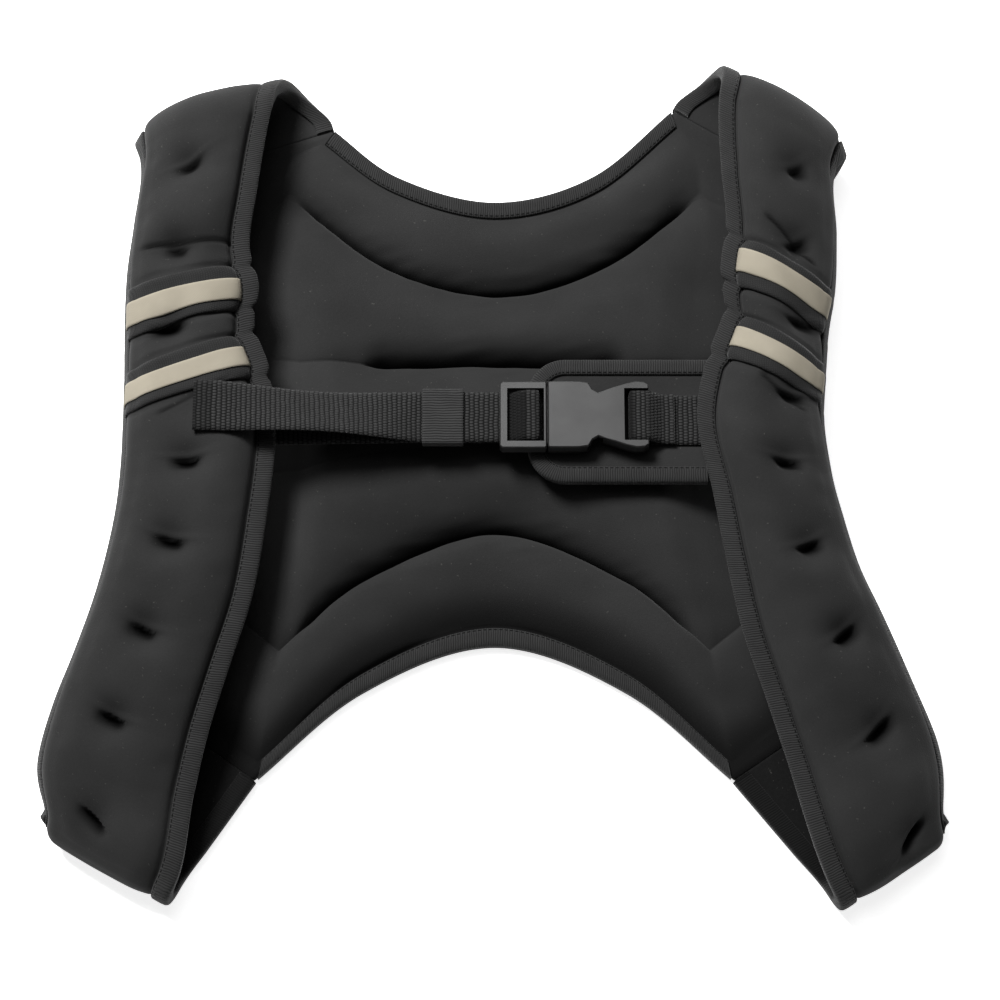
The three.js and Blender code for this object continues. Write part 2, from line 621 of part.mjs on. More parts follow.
function backUnder(u, v) {
  const seam = backSeam(v) - FLANGE / 2;
  return backPlan(u, v).setZ(seam * (1 - clamp01(2.5 * backPuff(u, v))));
}

// Rows and columns one binding width inside an edge.
function backV(row, u) {
  if (typeof row === 'number') {
    if (row > 0 && row < 1) {
      return mix(backV('first', u), 1, row);
    }
    return row > LAST_ROW - 1 && row < LAST_ROW ? mix(LAST_ROW - 1, backV('last', u), row - LAST_ROW + 1) : row;
  }
  const edge = row === 'first' ? 0 : LAST_ROW;
  const place = backPlan(u, edge);
  let near = edge;
  let far = row === 'first' ? 1 : LAST_ROW - 1;
  for (let k = 0; k < 30; k += 1) {
    const v = (near + far) / 2;
    if (backPlan(u, v).distanceTo(place) < BINDING_WIDTH) {
      near = v;
    } else {
      far = v;
    }
  }
  return near;
}

function backU(column, v) {
  if (column === 'edge') {
    return 1 - 0.5 * BINDING_WIDTH / backPlan(1, v).distanceTo(backPlan(0.5, v));
  }
  return column;
}

const backColumns = [
  ...BACK_COLUMNS.map((column) => ({ side: -1, column })),
  ...BACK_COLUMNS.slice(0, -1).reverse().map((column) => ({ side: 1, column })),
];
const backGrid = (surface) => BACK_ROWS.map((row) => backColumns.map(({ side, column }) => {
  const level = typeof row === 'number' ? row : (row === 'first' ? 0 : LAST_ROW);
  const u = side * backU(column, level);
  return surface(u, backV(row, u));
}));
addSlab('back_panel', backGrid(backTop), backGrid(backUnder), NEOPRENE, 0.95);

const upZ = vec(0, 0, 1);
const seamPoint = (u, v) => backPlan(u, v).setZ(backSeam(v));

function edgeStation(edge, inner) {
  const along = inner.clone().sub(edge);
  const level = vec(along.y, -along.x, 0).normalize();
  const up = level.cross(along).normalize();
  return { edge, inner, up: up.z < 0 ? up.negate() : up };
}

const innerColumns = BACK_COLUMNS.filter((column) => typeof column === 'number' && column < 0.5);
const bindingAcross = [...innerColumns.map((a) => -a), ...innerColumns.slice(0, -1).reverse()];
addBinding('neck_binding', bindingAcross.map((u) => {
  return edgeStation(seamPoint(u, 0), seamPoint(u, backV('first', u)));
}), true);
addBinding('hem_binding', bindingAcross.map((u) => {
  return edgeStation(seamPoint(u, LAST_ROW), seamPoint(u, backV('last', u)));
}), false);
for (const [side, word] of [[-1, 'left'], [1, 'right']]) {
  const levels = BACK_ROWS.slice(1, -1).map((row) => backV(row, side));
  const stations = [0.03, ...levels, LAST_ROW - 0.03].map((v) => {
    const inner = seamPoint(side * backU('edge', v), v);
    return edgeStation(seamPoint(side, v), inner);
  });
  addBinding(`armhole_binding_${word}`, stations, side < 0);
}

// Heights of the chest closure, from the pads' inner edges

function rowAtY(pad, y) {
  let low = FIRST_ROW;
  let high = pad.turn - FOLD_STEPS;
  for (let k = 0; k < 40; k += 1) {
    const t = (low + high) / 2;
    if (pad.rail('inner', t).y > y) {
      low = t;
    } else {
      high = t;
    }
  }
  return low;
}

const innerEdgeX = (pad, y) => pad.rail('inner', rowAtY(pad, y)).x;

// The lowest place of the inner binding between two places along the vest.
function lowestBinding(word, low, high) {
  const places = meshes[`inner_binding_${word}`].geometry.attributes.position;
  let lowest = PAD_RISE;
  for (let k = 0; k < places.count; k += 1) {
    const y = places.getY(k);
    if (y > low - ROW_STEP && y < high + ROW_STEP && places.getZ(k) > PAD_RISE / 2) {
      lowest = Math.min(lowest, places.getZ(k));
    }
  }
  return lowest;
}

const webLow = CHEST_Y - WEB_WIDTH / 2;
const webHigh = CHEST_Y + WEB_WIDTH / 2;
const webTop = lowestBinding('right', webLow, webHigh) - GAP;
const flapTop = Math.min(
  webTop - WEB_THICK - GAP,
  lowestBinding('right', CHEST_Y - FLAP_HEIGHT / 2, CHEST_Y + FLAP_HEIGHT / 2) - GAP,
);
const femaleUnder = flapTop + GAP;
const buckleZ = femaleUnder + FEMALE_HEIGHT / 2;
const leftUnder = lowestBinding('left', webLow, webHigh);

// Flap behind the buckle

const flapMid = flapTop - FLAP_THICK / 2;
const flapRight = (y) => innerEdgeX(padRight, y) + FLAP_TUCK;
function flapOutline(inset) {
  const low = CHEST_Y - FLAP_HEIGHT / 2 + inset;
  const high = CHEST_Y + FLAP_HEIGHT / 2 - inset;
  const left = FLAP_LEFT + inset;
  const corner = FLAP_CORNER - inset;
  const list = [];
  const steps = 5;
  for (const share of [1, 0.75, 0.5, 0.25, 0]) {
    list.push([mix(left + corner, flapRight(high) - 1, share), high]);
  }
  for (let k = 1; k <= steps; k += 1) {
    const angle = degrees(90 + 90 * k / steps);
    list.push([left + corner + corner * Math.cos(angle), high - corner + corner * Math.sin(angle)]);
  }
  for (let k = 0; k < steps; k += 1) {
    const angle = degrees(180 + 90 * k / steps);
    list.push([left + corner + corner * Math.cos(angle), low + corner + corner * Math.sin(angle)]);
  }
  for (const share of [0, 0.25, 0.5, 0.75, 1]) {
    list.push([mix(left + corner, flapRight(low) - 1, share), low]);
  }
  return list;
}
const flapShape = new THREE.Shape();
const flapEdge = flapOutline(0);
flapShape.moveTo(...flapEdge[0]);
flapEdge.slice(1).forEach(([x, y]) => flapShape.lineTo(x, y));
for (const share of [0, 0.2, 0.4, 0.6, 0.8, 1]) {
  const y = CHEST_Y + mix(-0.5, 0.5, share) * (FLAP_HEIGHT - 1);
  flapShape.lineTo(flapRight(y), y);
}
const flapSolid = new THREE.ExtrudeGeometry(flapShape, { depth: FLAP_THICK, bevelEnabled: false });
flapSolid.translate(0, 0, flapTop - FLAP_THICK);
addMesh('buckle_flap', flapSolid, NEOPRENE, 0.95);

function addFlapBinding() {
  const half = FLAP_THICK / 2 + GAP;
  const outerHalf = half + BINDING_THICK;
  const outer = flapOutline(-GAP - BINDING_THICK);
  const near = flapOutline(-GAP);
  const inner = flapOutline(BINDING_WIDTH - 1.5);
  const clear = (x) => Math.min(x, innerEdgeX(padRight, CHEST_Y) - BINDING_THICK - 2 * GAP);
  const at = ([x, y], lift) => vec(clear(x), y, flapMid + lift);
  const stations = outer.map((_, k) => [
    at(inner[k], outerHalf), at(outer[k], outerHalf), at(outer[k], -outerHalf), at(inner[k], -outerHalf),
    at(inner[k], -half), at(near[k], -half), at(near[k], half), at(inner[k], half),
  ]);
  addChannel('flap_binding', stations.flat());
}
addFlapBinding();

// Webbing

// Rounds the corners of a path in the XZ plane; each corner may name its radius.
function rounded(corners) {
  const list = [];
  corners.forEach(({ x, z, r = 0 }, k) => {
    const here = new THREE.Vector2(x, z);
    if (k === 0 || k === corners.length - 1 || r === 0) {
      list.push(here);
      return;
    }
    const back = new THREE.Vector2(corners[k - 1].x, corners[k - 1].z).sub(here).normalize();
    const ahead = new THREE.Vector2(corners[k + 1].x, corners[k + 1].z).sub(here).normalize();
    const half = Math.acos(Math.min(1, Math.max(-1, back.dot(ahead)))) / 2;
    const cut = r / Math.tan(half);
    const start = here.clone().addScaledVector(back, cut);
    const end = here.clone().addScaledVector(ahead, cut);
    const steps = Math.PI - 2 * half > 0.7 ? 4 : 2;
    const centre = here.clone().add(back.clone().add(ahead).normalize().multiplyScalar(r / Math.sin(half)));
    const from = start.clone().sub(centre);
    const total = Math.PI - 2 * half;
    const sign = from.x * (end.y - centre.y) - from.y * (end.x - centre.x) > 0 ? 1 : -1;
    for (let i = 0; i <= steps; i += 1) {
      const turn = sign * total * i / steps;
      list.push(new THREE.Vector2(
        centre.x + from.x * Math.cos(turn) - from.y * Math.sin(turn),
        centre.y + from.x * Math.sin(turn) + from.y * Math.cos(turn),
      ));
    }
  });
  return list;
}

// Flat webbing along a path in the XZ plane; shift moves it along Y and roll turns it, by place.
function addWebbing(name, path, width, thick, shift = () => 0, roll = () => 0) {
  const upper = [];
  const lower = [];
  path.forEach((point, k) => {
    const before = path[Math.max(0, k - 1)];
    const after = path[Math.min(path.length - 1, k + 1)];
    const one = point.clone().sub(before).normalize();
    const two = after.clone().sub(point).normalize();
    const along = one.clone().add(two).normalize();
    const stretch = k > 0 && k < path.length - 1 ? 1 / Math.max(0.5, Math.sqrt((1 + one.dot(two)) / 2)) : 1;
    const normal = vec(-along.y, 0, along.x).multiplyScalar(stretch * thick / 2);
    const centre = vec(point.x, CHEST_Y + shift(point, k), point.y);
    const side = vec(0, 1, 0).applyAxisAngle(vec(along.x, 0, along.y), degrees(roll(point, k)));
    const turned = normal.clone().applyAxisAngle(vec(along.x, 0, along.y), degrees(roll(point, k)));
    const ends = [-width / 2, width / 2].map((w) => centre.clone().addScaledVector(side, w));
    upper.push(ends.map((p) => p.clone().add(turned)));
    lower.push(ends.map((p) => p.clone().sub(turned)));
  });
  addSlab(name, upper, lower, 0x2e2e2e, 0.75);
}

// The ladder lock's parts
const barLeft = BUCKLE_LEFT + LOCK_LENGTH - 5.5 - BAR_WIDTH;
const barRight = barLeft + BAR_WIDTH;
const lockTop = buckleZ + FEMALE_HEIGHT / 2 - 0.8;
const barTop = lockTop - 1.6;
const barUnder = barTop - BAR_HEIGHT;
const baseZ = barUnder - GAP - WEB_THICK / 2;
const tailZ = baseZ + WEB_THICK + GAP + 0.1;
const lockBarUnder = tailZ + WEB_THICK / 2 + GAP;
const railUnder = lockTop - RAIL_HEIGHT;
const overZ = barTop + GAP + WEB_THICK / 2;
const wrap = GAP + WEB_THICK / 2;
const keeperStart = KEEPER_AT - KEEPER_LENGTH / 2;
const keeperEnd = KEEPER_AT + KEEPER_LENGTH / 2;

// The loose end lies on the pad: a taut line over the highest places under it.
const caster = new THREE.Raycaster();
function heightUnder(x, y) {
  caster.set(vec(x, y, 200), vec(0, 0, -1));
  const below = ['front_pad_left', 'inner_binding_left', 'stripe_band_left_lower', 'reflective_tape_left_lower'];
  const hits = caster.intersectObjects(below.map((name) => meshes[name]), false);
  return hits.length > 0 ? hits[0].point.z : 0;
}
const tailShift = (x) => TAIL_SWING * clamp01((keeperStart - x) / (TAIL_LENGTH - KEEPER_LENGTH / 2));
const tailEndX = KEEPER_AT - TAIL_LENGTH;
const tailRest = [{ x: keeperStart, z: tailZ }];
const tailSteps = 60;
for (let k = 1; k <= tailSteps; k += 1) {
  const x = mix(keeperStart, tailEndX, k / tailSteps);
  const y = CHEST_Y + tailShift(x);
  const heights = [];
  for (let f = -0.52; f < 0.53; f += 0.08) {
    heights.push(heightUnder(x, y + f * WEB_WIDTH));
  }
  const z = Math.max(...heights) + 2 * GAP + WEB_THICK / 2;
  while (tailRest.length > 1) {
    const a = tailRest[tailRest.length - 2];
    const b = tailRest[tailRest.length - 1];
    if ((b.x - a.x) * (z - a.z) - (b.z - a.z) * (x - a.x) > 0) {
      break;
    }
    tailRest.pop();
  }
  tailRest.push({ x, z });
}
const tailCorners = tailRest.slice(1).reverse();
const baseStart = innerEdgeX(padLeft, CHEST_Y) - WEB_TUCK;
const baseStartZ = leftUnder - 3 * GAP - WEB_THICK / 2;
const strapPath = [
  ...tailCorners.map(({ x, z }) => new THREE.Vector2(x, z)),
  ...rounded([
    { x: keeperStart - 1, z: tailZ },
    { x: keeperStart, z: tailZ },
    { x: keeperEnd, z: tailZ },
    { x: BUCKLE_LEFT + LOCK_BAR + 1.2, z: tailZ, r: 1.4 },
    { x: barLeft - wrap, z: overZ, r: 1.4 },
    { x: barRight + wrap, z: overZ, r: wrap },
    { x: barRight + wrap, z: baseZ, r: wrap },
    { x: BUCKLE_LEFT, z: baseZ },
    { x: keeperEnd, z: baseZ },
    { x: keeperStart, z: baseZ },
    { x: keeperStart - 8, z: baseZ },
    { x: baseStart, z: baseStartZ },
  ]).slice(1),
];
const tailPoints = tailCorners.length;
// The free stretch between the pad and the keeper gets places of its own, so that it can twist.
const freeFrom = strapPath[tailPoints - 1];
const freeTo = strapPath[tailPoints];
const freePoints = [0.2, 0.4, 0.6, 0.8].map((f) => freeFrom.clone().lerp(freeTo, f));
strapPath.splice(tailPoints, 0, ...freePoints);
const freeEnd = tailPoints + freePoints.length;
addWebbing('adjusting_strap', strapPath, WEB_WIDTH, WEB_THICK, (point, k) => {
  return k < freeEnd ? tailShift(point.x) : 0;
}, (point, k) => {
  if (k < tailPoints || k >= freeEnd) {
    return 0;
  }
  return -TAIL_TWIST * Math.sin(Math.PI * (point.x - freeFrom.x) / (freeTo.x - freeFrom.x));
});

// The keeper goes round both layers.
const keeperShape = new THREE.Shape();
const keeperHole = new THREE.Path();
const keeperHalf = WEB_WIDTH / 2 + GAP;
const keeperLow = baseZ - WEB_THICK / 2 - GAP;
const keeperHigh = tailZ + WEB_THICK / 2 + GAP;
function box2(path, halfY, low, high, corner) {
  path.moveTo(-halfY + corner, low);
  path.lineTo(halfY - corner, low);
  path.lineTo(halfY, low + corner);
  path.lineTo(halfY, high - corner);
  path.lineTo(halfY - corner, high);
  path.lineTo(-halfY + corner, high);
  path.lineTo(-halfY, high - corner);
  path.lineTo(-halfY, low + corner);
  path.closePath();
}
box2(keeperShape, keeperHalf + KEEPER_THICK, keeperLow - KEEPER_THICK, keeperHigh + KEEPER_THICK, 1);
box2(keeperHole, keeperHalf, keeperLow, keeperHigh, 0.2);
keeperShape.holes.push(keeperHole);
const keeper = new THREE.ExtrudeGeometry(keeperShape, { depth: KEEPER_LENGTH - 2, bevelEnabled: false });
keeper.rotateX(Math.PI / 2);
keeper.rotateZ(Math.PI / 2);
keeper.translate(keeperStart + 1, CHEST_Y, 0);
addMesh('strap_keeper', keeper, 0x343434, 0.8);

// The right webbing, round the buckle's end bar.
const femaleStart = BUCKLE_LEFT + LOCK_LENGTH;
const femaleEnd = femaleStart + FEMALE_LENGTH;
const endBarRight = femaleEnd - 2.2;
const endBarLeft = endBarRight - END_BAR;
const endBarTop = buckleZ + 2.6;
const endBarUnder = femaleUnder + WEB_THICK + 2 * GAP + 0.7;
const rightZ = webTop - WEB_THICK / 2;
const rightStart = innerEdgeX(padRight, CHEST_Y) + WEB_TUCK;
const rightPath = rounded([
  { x: rightStart, z: rightZ },
  { x: femaleEnd + 4, z: rightZ, r: 3 },
  { x: endBarRight, z: endBarUnder - wrap, r: 3 },
  { x: endBarLeft - wrap, z: endBarUnder - wrap, r: wrap },
  { x: endBarLeft - wrap, z: endBarTop + wrap, r: wrap },
  { x: endBarRight + 1.5, z: endBarTop + wrap, r: 2 },
  { x: femaleEnd + 6.5, z: rightZ + WEB_THICK + GAP + 0.2, r: 2 },
  { x: femaleEnd + 13, z: rightZ + WEB_THICK + GAP },
]);
addWebbing('buckle_strap', rightPath, WEB_WIDTH, WEB_THICK);

// Buckle

function solidOf(geometry) {
  const plain = geometry.clone();
  plain.deleteAttribute('normal');
  plain.deleteAttribute('uv');
  const merged = mergeVertices(plain, 1e-4);
  return new wasm.Manifold(new wasm.Mesh({
    numProp: 3,
    vertProperties: new Float32Array(merged.attributes.position.array),
    triVerts: new Uint32Array(merged.index.array),
  }));
}

function geometryOf(solid) {
  const mesh = solid.getMesh();
  const geometry = new THREE.BufferGeometry();
  geometry.setAttribute('position', new THREE.BufferAttribute(new Float32Array(mesh.vertProperties), 3));
  geometry.setIndex(new THREE.BufferAttribute(new Uint32Array(mesh.triVerts), 1));
  return geometry;
}

function block(x0, x1, halfY, z0, z1, y = CHEST_Y) {
  const geometry = new THREE.BoxGeometry(x1 - x0, 2 * halfY, z1 - z0);
  geometry.translate((x0 + x1) / 2, y, (z0 + z1) / 2);
  return solidOf(geometry);
}

// A flat body with bevelled edges from an outline in plan.
function body(outline, low, high, bevel) {
  const shape = new THREE.Shape();
  shape.moveTo(...outline[0]);
  outline.slice(1).forEach(([x, y]) => shape.lineTo(x, y));
  shape.closePath();
  const geometry = new THREE.ExtrudeGeometry(shape, {
    depth: high - low - 2 * bevel,
    bevelThickness: bevel,
    bevelSize: bevel,
    bevelOffset: -bevel,
    bevelSegments: 1,
  });
  geometry.translate(0, 0, low + bevel);
  return solidOf(geometry);
}

function symmetric(points) {
  const up = points.map(([x, half]) => [x, CHEST_Y + half]);
  const down = points.map(([x, half]) => [x, CHEST_Y - half]).reverse();
  return [...down, ...up].reverse();
}

const halfBuckle = BUCKLE_WIDTH / 2;
const femaleOutline = symmetric(FEMALE_OUTLINE.map(({ along, half }) => {
  return [femaleStart + GAP + along * (FEMALE_LENGTH - GAP), half * BUCKLE_WIDTH];
}));
const webSlot = WEB_WIDTH / 2 + 2 * GAP;
const mouthHalf = halfBuckle - MOUTH_WALL;
const mouthLow = buckleZ - MOUTH_HEIGHT / 2;
const mouthHigh = buckleZ + MOUTH_HEIGHT / 2;
let female = body(femaleOutline, femaleUnder, femaleUnder + FEMALE_HEIGHT, WAIST_CORNER);
female = female.subtract(block(femaleStart - 1, femaleStart + MOUTH_DEPTH, mouthHalf, mouthLow, mouthHigh));
const waistAt = femaleStart + 0.5 * FEMALE_LENGTH;
for (const side of [-1, 1]) {
  const y = CHEST_Y + side * halfBuckle;
  female = female.subtract(block(waistAt - 5, waistAt + 2, 7, mouthLow, mouthHigh, y));
}
female = female.subtract(block(endBarLeft - SLOT_LENGTH, endBarLeft, webSlot, 0, 100));
female = female.subtract(block(endBarLeft - 1, femaleEnd + 1, webSlot, 0, endBarUnder));
female = female.subtract(block(endBarLeft - 1, femaleEnd + 1, webSlot, endBarTop, 100));
female = female.subtract(block(endBarRight, femaleEnd + 1, webSlot, 0, 100));
addMesh('buckle_female', geometryOf(female), 0x47474a, 0.5);

const maleOutline = symmetric([
  [BUCKLE_LEFT, halfBuckle - 1.2],
  [BUCKLE_LEFT + 1.2, halfBuckle],
  [femaleStart - 1, halfBuckle],
  [femaleStart - GAP, halfBuckle - 0.8],
]);
let male = body(maleOutline, railUnder, lockTop, WAIST_CORNER);
const lockHalf = halfBuckle - RAIL;
const windowLeft = BUCKLE_LEFT + LOCK_BAR;
const rootLeft = femaleStart - 1.6;
male = male.subtract(block(windowLeft, rootLeft, lockHalf, 0, 100));
male = male.subtract(block(BUCKLE_LEFT - 1, windowLeft + 1, lockHalf, 0, lockBarUnder));
male = male.add(block(barLeft, barRight, lockHalf + 0.5, barUnder, barTop));
const prongLow = buckleZ - PRONG_HEIGHT / 2;
const prongHigh = buckleZ + PRONG_HEIGHT / 2;
male = male.add(block(rootLeft + 0.4, femaleStart + HEAD_LENGTH, mouthHalf - GAP, prongLow, prongHigh));
male = male.add(block(femaleStart, femaleStart + TONGUE_LENGTH, TONGUE_WIDTH / 2, prongLow, prongHigh));
for (const side of [-1, 1]) {
  const y = CHEST_Y + side * (mouthHalf - GAP - PRONG_WIDTH / 2);
  male = male.add(block(femaleStart, femaleStart + PRONG_LENGTH, PRONG_WIDTH / 2, prongLow, prongHigh, y));
}
addMesh('buckle_male', geometryOf(male), 0x47474a, 0.5);

// The origin goes to the bottom centre of the whole.
group.updateMatrixWorld(true);
const whole = new THREE.Box3().setFromObject(group, true);
const centre = whole.getCenter(new THREE.Vector3());
group.position.set(-centre.x, -centre.y, -whole.min.z);
group.updateMatrixWorld(true);

export default group;
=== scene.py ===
# Looks of a padded neoprene weight vest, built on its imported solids.
# Lengths are millimetres in the part's own frame until a piece is added; Blender's are metres.

import math

import bpy
import numpy as np
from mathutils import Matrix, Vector
from mathutils.bvhtree import BVHTree


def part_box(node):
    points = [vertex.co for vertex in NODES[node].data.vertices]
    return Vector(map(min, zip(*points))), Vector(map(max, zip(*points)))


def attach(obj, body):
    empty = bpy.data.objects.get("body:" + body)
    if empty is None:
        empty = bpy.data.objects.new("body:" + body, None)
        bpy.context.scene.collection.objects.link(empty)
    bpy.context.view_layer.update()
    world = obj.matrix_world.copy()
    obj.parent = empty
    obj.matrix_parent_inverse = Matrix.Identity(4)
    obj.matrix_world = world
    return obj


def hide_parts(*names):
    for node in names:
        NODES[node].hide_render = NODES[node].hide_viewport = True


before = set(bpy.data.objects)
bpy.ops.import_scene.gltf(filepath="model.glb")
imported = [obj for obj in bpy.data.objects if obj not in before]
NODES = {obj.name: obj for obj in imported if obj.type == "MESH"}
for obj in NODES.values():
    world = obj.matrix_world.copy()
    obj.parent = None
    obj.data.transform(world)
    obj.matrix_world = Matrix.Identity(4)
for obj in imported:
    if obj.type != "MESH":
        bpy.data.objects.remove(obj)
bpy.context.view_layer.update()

# Sizes shared with the solids

HALF_WIDTH = 221.0
HALF_LENGTH = 206.0
CHEST_Y = 36.5
PAD_RISE = 45.0
FLANGE = 4.0
BINDING_WIDTH = 8.0
BINDING_THICK = 1.2
GAP = 0.3
FLOOR_GAP = 0.3
PAD_TOP = 12.0
PAD_UNDER = 7.0
PAD_REACH = 22.0
PAD_CROWN = 4.0
OUTER_DROP = 5.0
FOLD_LIFT = 0.9  # the bottom fold ends this much above the back panel's edge
OUTER_ROLL = 9.0
ROLL_SHARE = 0.14
OUTER_INSET = 4.0
REAR_RISE = 9.0
REAR_FLAT = 5.0
FLARE_LEFT = 29.0
FLARE_RIGHT = 22.0
ROW_STEP = 14.0
TUFT_DEPTH = 0.6
BAND_SQUEEZE = 0.16
WING_SWELL = 0.5
BAND_THICK = 1.2
TAPE_THICK = 0.5
BAND_END_GAP = 0.6
BACK_HEIGHT = 22.0
BACK_REACH = 16.0
SLOT_SHARE = 0.33
WEB_WIDTH = 25.0
WEB_THICK = 1.5
WEB_TUCK = 5.5
TAIL_LENGTH = 119.0
TAIL_SWING = 0.6
TAIL_TWIST = 24.0
KEEPER_LENGTH = 22.0
KEEPER_THICK = 1.2
KEEPER_AT = -25.0
FLAP_THICK = 3.0
FLAP_HEIGHT = 60.0
FLAP_LEFT = 17.5
FLAP_CORNER = 17.0
FLAP_TUCK = 5.0
BUCKLE_LEFT = 2.5
LOCK_LENGTH = 23.0
LOCK_BAR = 3.6
LOCK_SLOT = 5.5
BAR_WIDTH = 4.5
BAR_DROP = 2.4
BAR_HEIGHT = 3.4
FEMALE_LENGTH = 49.0
FEMALE_HEIGHT = 11.0
END_BAR = 5.6
FOLD_STEPS = 4
FIRST_ROW = FOLD_STEPS + 1
EDGE_Z = FLANGE / 2 + GAP + BINDING_THICK + FLOOR_GAP
BINDING_HALF = FLANGE / 2 + GAP + BINDING_THICK

# Rows of a front pad from the shoulder to the bottom fold: outer x, outer y, inner x, inner y as
# shares of HALF_WIDTH and HALF_LENGTH, height as a share of PAD_RISE, filling.
PAD_LEFT = [
    (0.796, 0.850, 0.512, 0.950, 1.00, 0.75),
    (0.804, 0.672, 0.538, 0.750, 1.00, 1.00),
    (0.815, 0.538, 0.552, 0.590, 0.98, 1.00),
    (0.815, 0.425, 0.530, 0.499, 0.96, 0.90),
    (0.812, 0.300, 0.537, 0.400, 0.93, 0.90),
    (0.811, 0.180, 0.502, 0.290, 0.91, 0.95),
    (0.813, 0.068, 0.486, 0.120, 0.89, 1.00),
    (0.824, -0.060, 0.502, -0.077, 0.87, 1.00),
    (0.855, -0.218, 0.528, -0.252, 0.82, 1.00),
    (0.902, -0.376, 0.575, -0.418, 0.76, 1.00),
    (0.946, -0.500, 0.615, -0.559, 0.67, 0.90),
    (0.975, -0.617, 0.645, -0.704, 0.58, 0.75),
    (0.975, -0.745, 0.676, -0.895, 0.49, 0.50),
]
PAD_RIGHT = [
    (0.766, 0.827, 0.516, 0.990, 1.00, 0.75),
    (0.760, 0.650, 0.515, 0.805, 1.00, 1.00),
    (0.751, 0.503, 0.523, 0.654, 0.98, 0.95),
    (0.734, 0.402, 0.509, 0.541, 0.96, 0.90),
    (0.725, 0.293, 0.514, 0.438, 0.93, 0.90),
    (0.718, 0.188, 0.474, 0.317, 0.91, 0.95),
    (0.729, 0.072, 0.451, 0.178, 0.89, 1.00),
    (0.752, -0.043, 0.482, -0.005, 0.87, 1.00),
    (0.785, -0.166, 0.507, -0.156, 0.82, 1.00),
    (0.835, -0.286, 0.539, -0.324, 0.76, 1.00),
    (0.892, -0.430, 0.586, -0.477, 0.67, 0.95),
    (0.943, -0.567, 0.626, -0.611, 0.60, 0.80),
    (0.975, -0.758, 0.715, -0.908, 0.49, 0.50),
]
# Bands: name, middle and half length in rows, the same of the tape on it.
BANDS_LEFT = [("upper", 3.02, 0.52, 3.06, 0.25), ("lower", 4.65, 0.44, 4.67, 0.21)]
BANDS_RIGHT = [("upper", 2.76, 0.50, 2.68, 0.25), ("lower", 4.45, 0.45, 4.43, 0.21)]
# Tufts: row, share across from the outer edge, half length of the slit, its slant in degrees,
# depth of the slit. The hollow round each one is as deep as the solid's.
TUFTS_LEFT = [
    (0.59, 0.46, 5.5, 110, 2.5),
    (1.92, 0.46, 5.0, 80, 2.5),
    (3.62, 0.38, 8.0, 80, 3.0),
    (6.23, 0.47, 6.0, 88, 4.0),
    (7.40, 0.45, 6.5, 82, 4.0),
    (8.66, 0.44, 6.5, 74, 4.0),
    (10.08, 0.44, 6.5, 74, 4.0),
    (11.67, 0.41, 6.5, 60, 4.0),
]
TUFTS_RIGHT = [
    (0.66, 0.38, 5.5, 50, 2.5),
    (1.86, 0.40, 6.5, 50, 2.5),
    (3.40, 0.28, 8.0, 72, 3.0),
    (5.10, 0.32, 7.0, 75, 3.0),
    (6.43, 0.40, 6.0, 80, 4.0),
    (7.86, 0.40, 6.0, 66, 4.0),
    (9.32, 0.37, 6.0, 60, 4.0),
    (10.85, 0.40, 8.0, 54, 4.0),
    (11.91, 0.33, 8.0, 50, 4.0),
]
# Creases across a pad: row at the outer and the inner end, shares at both ends, depth.
CREASES_LEFT = [(1.76, 1.90, 0.12, 0.96, 1.6), (5.35, 5.00, 0.25, 0.80, 0.7)]
CREASES_RIGHT = [(2.05, 1.62, 0.20, 0.70, 1.0), (5.30, 4.95, 0.18, 0.62, 0.9)]
# Small forms of the pads: depths, reaches and widths in millimetres.
HOLLOW_RADIUS = 8.5
HOLLOW_SHARE = 0.75  # how much of the solid's tuft the wide hollow takes
SLIT_ABOVE = 1.1
SLIT_BELOW = 3.8
PULL_LENGTH = 1.8  # the pull round a slit, as a share of its half length
PULL_WIDTH = 8.0
CREASE_WIDTH = 1.2
CREASE_PULL = 6.0
FOLD_PULL = 3.5
FOLD_REACH = 24.0
KINK_DEPTH = 2.0
KINK_LENGTH = 2.4
PULL_DEPTH = 1.9
LIP_HEIGHT = 0.9
LIP_AT = 2.6
LIP_WIDTH = 1.6
PUCKER_AT = 3.0
PUCKER_REACH = 7.0
BESIDE_BAND_DEPTH = 0.8
BESIDE_BAND_AT = 1.12  # in half lengths of the band
BESIDE_BAND_WIDTH = 0.12
# Unevenness: size across, height.
PAD_BROAD = (34, 0.7)
PAD_FINE = (13, 0.22)
PAD_PUCKERS = (7, 0.3)
BACK_BROAD = (45, 0.8)
BACK_FINE = (16, 0.3)
BACK_PUCKERS = (9, 0.35)

# Back panel's rows: outer x, y, corner x, y, between x, y, middle y, height, swell.
BACK = [
    (0.80, 0.80, 0.44, 1.04, 0.225, 0.84, 0.773, 0.41, 0.36),
    (0.64, 0.66, 0.475, 0.80, 0.25, 0.616, 0.541, 0.40, 0.42),
    (0.585, 0.39, 0.437, 0.355, 0.223, 0.348, 0.348, 0.72, 0.20),
    (0.555, 0.08, 0.431, 0.08, 0.232, 0.12, 0.135, 1.00, 0.08),
    (0.635, -0.21, 0.472, -0.353, 0.285, -0.178, -0.066, 0.46, 0.22),
    (0.783, -0.463, 0.521, -0.653, 0.288, -0.440, -0.330, 0.21, 0.00),
]
LAST_ROW = len(BACK) - 1

female_low, female_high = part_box("buckle_female")
SHIFT = np.array([
    female_low[0] * 1000 - (BUCKLE_LEFT + LOCK_LENGTH + GAP),
    (female_low[1] + female_high[1]) * 500 - CHEST_Y,
    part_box("back_panel")[0][2] * 1000,
])


# Small helpers

def mix(a, b, f):
    return a + (b - a) * f


def clamp01(value):
    return np.clip(value, 0.0, 1.0)


def smooth01(value):
    value = clamp01(value)
    return value * value * (3 - 2 * value)


def round_off(value):
    return np.sqrt(np.maximum(0.0, 1 - (1 - clamp01(value)) ** 2))


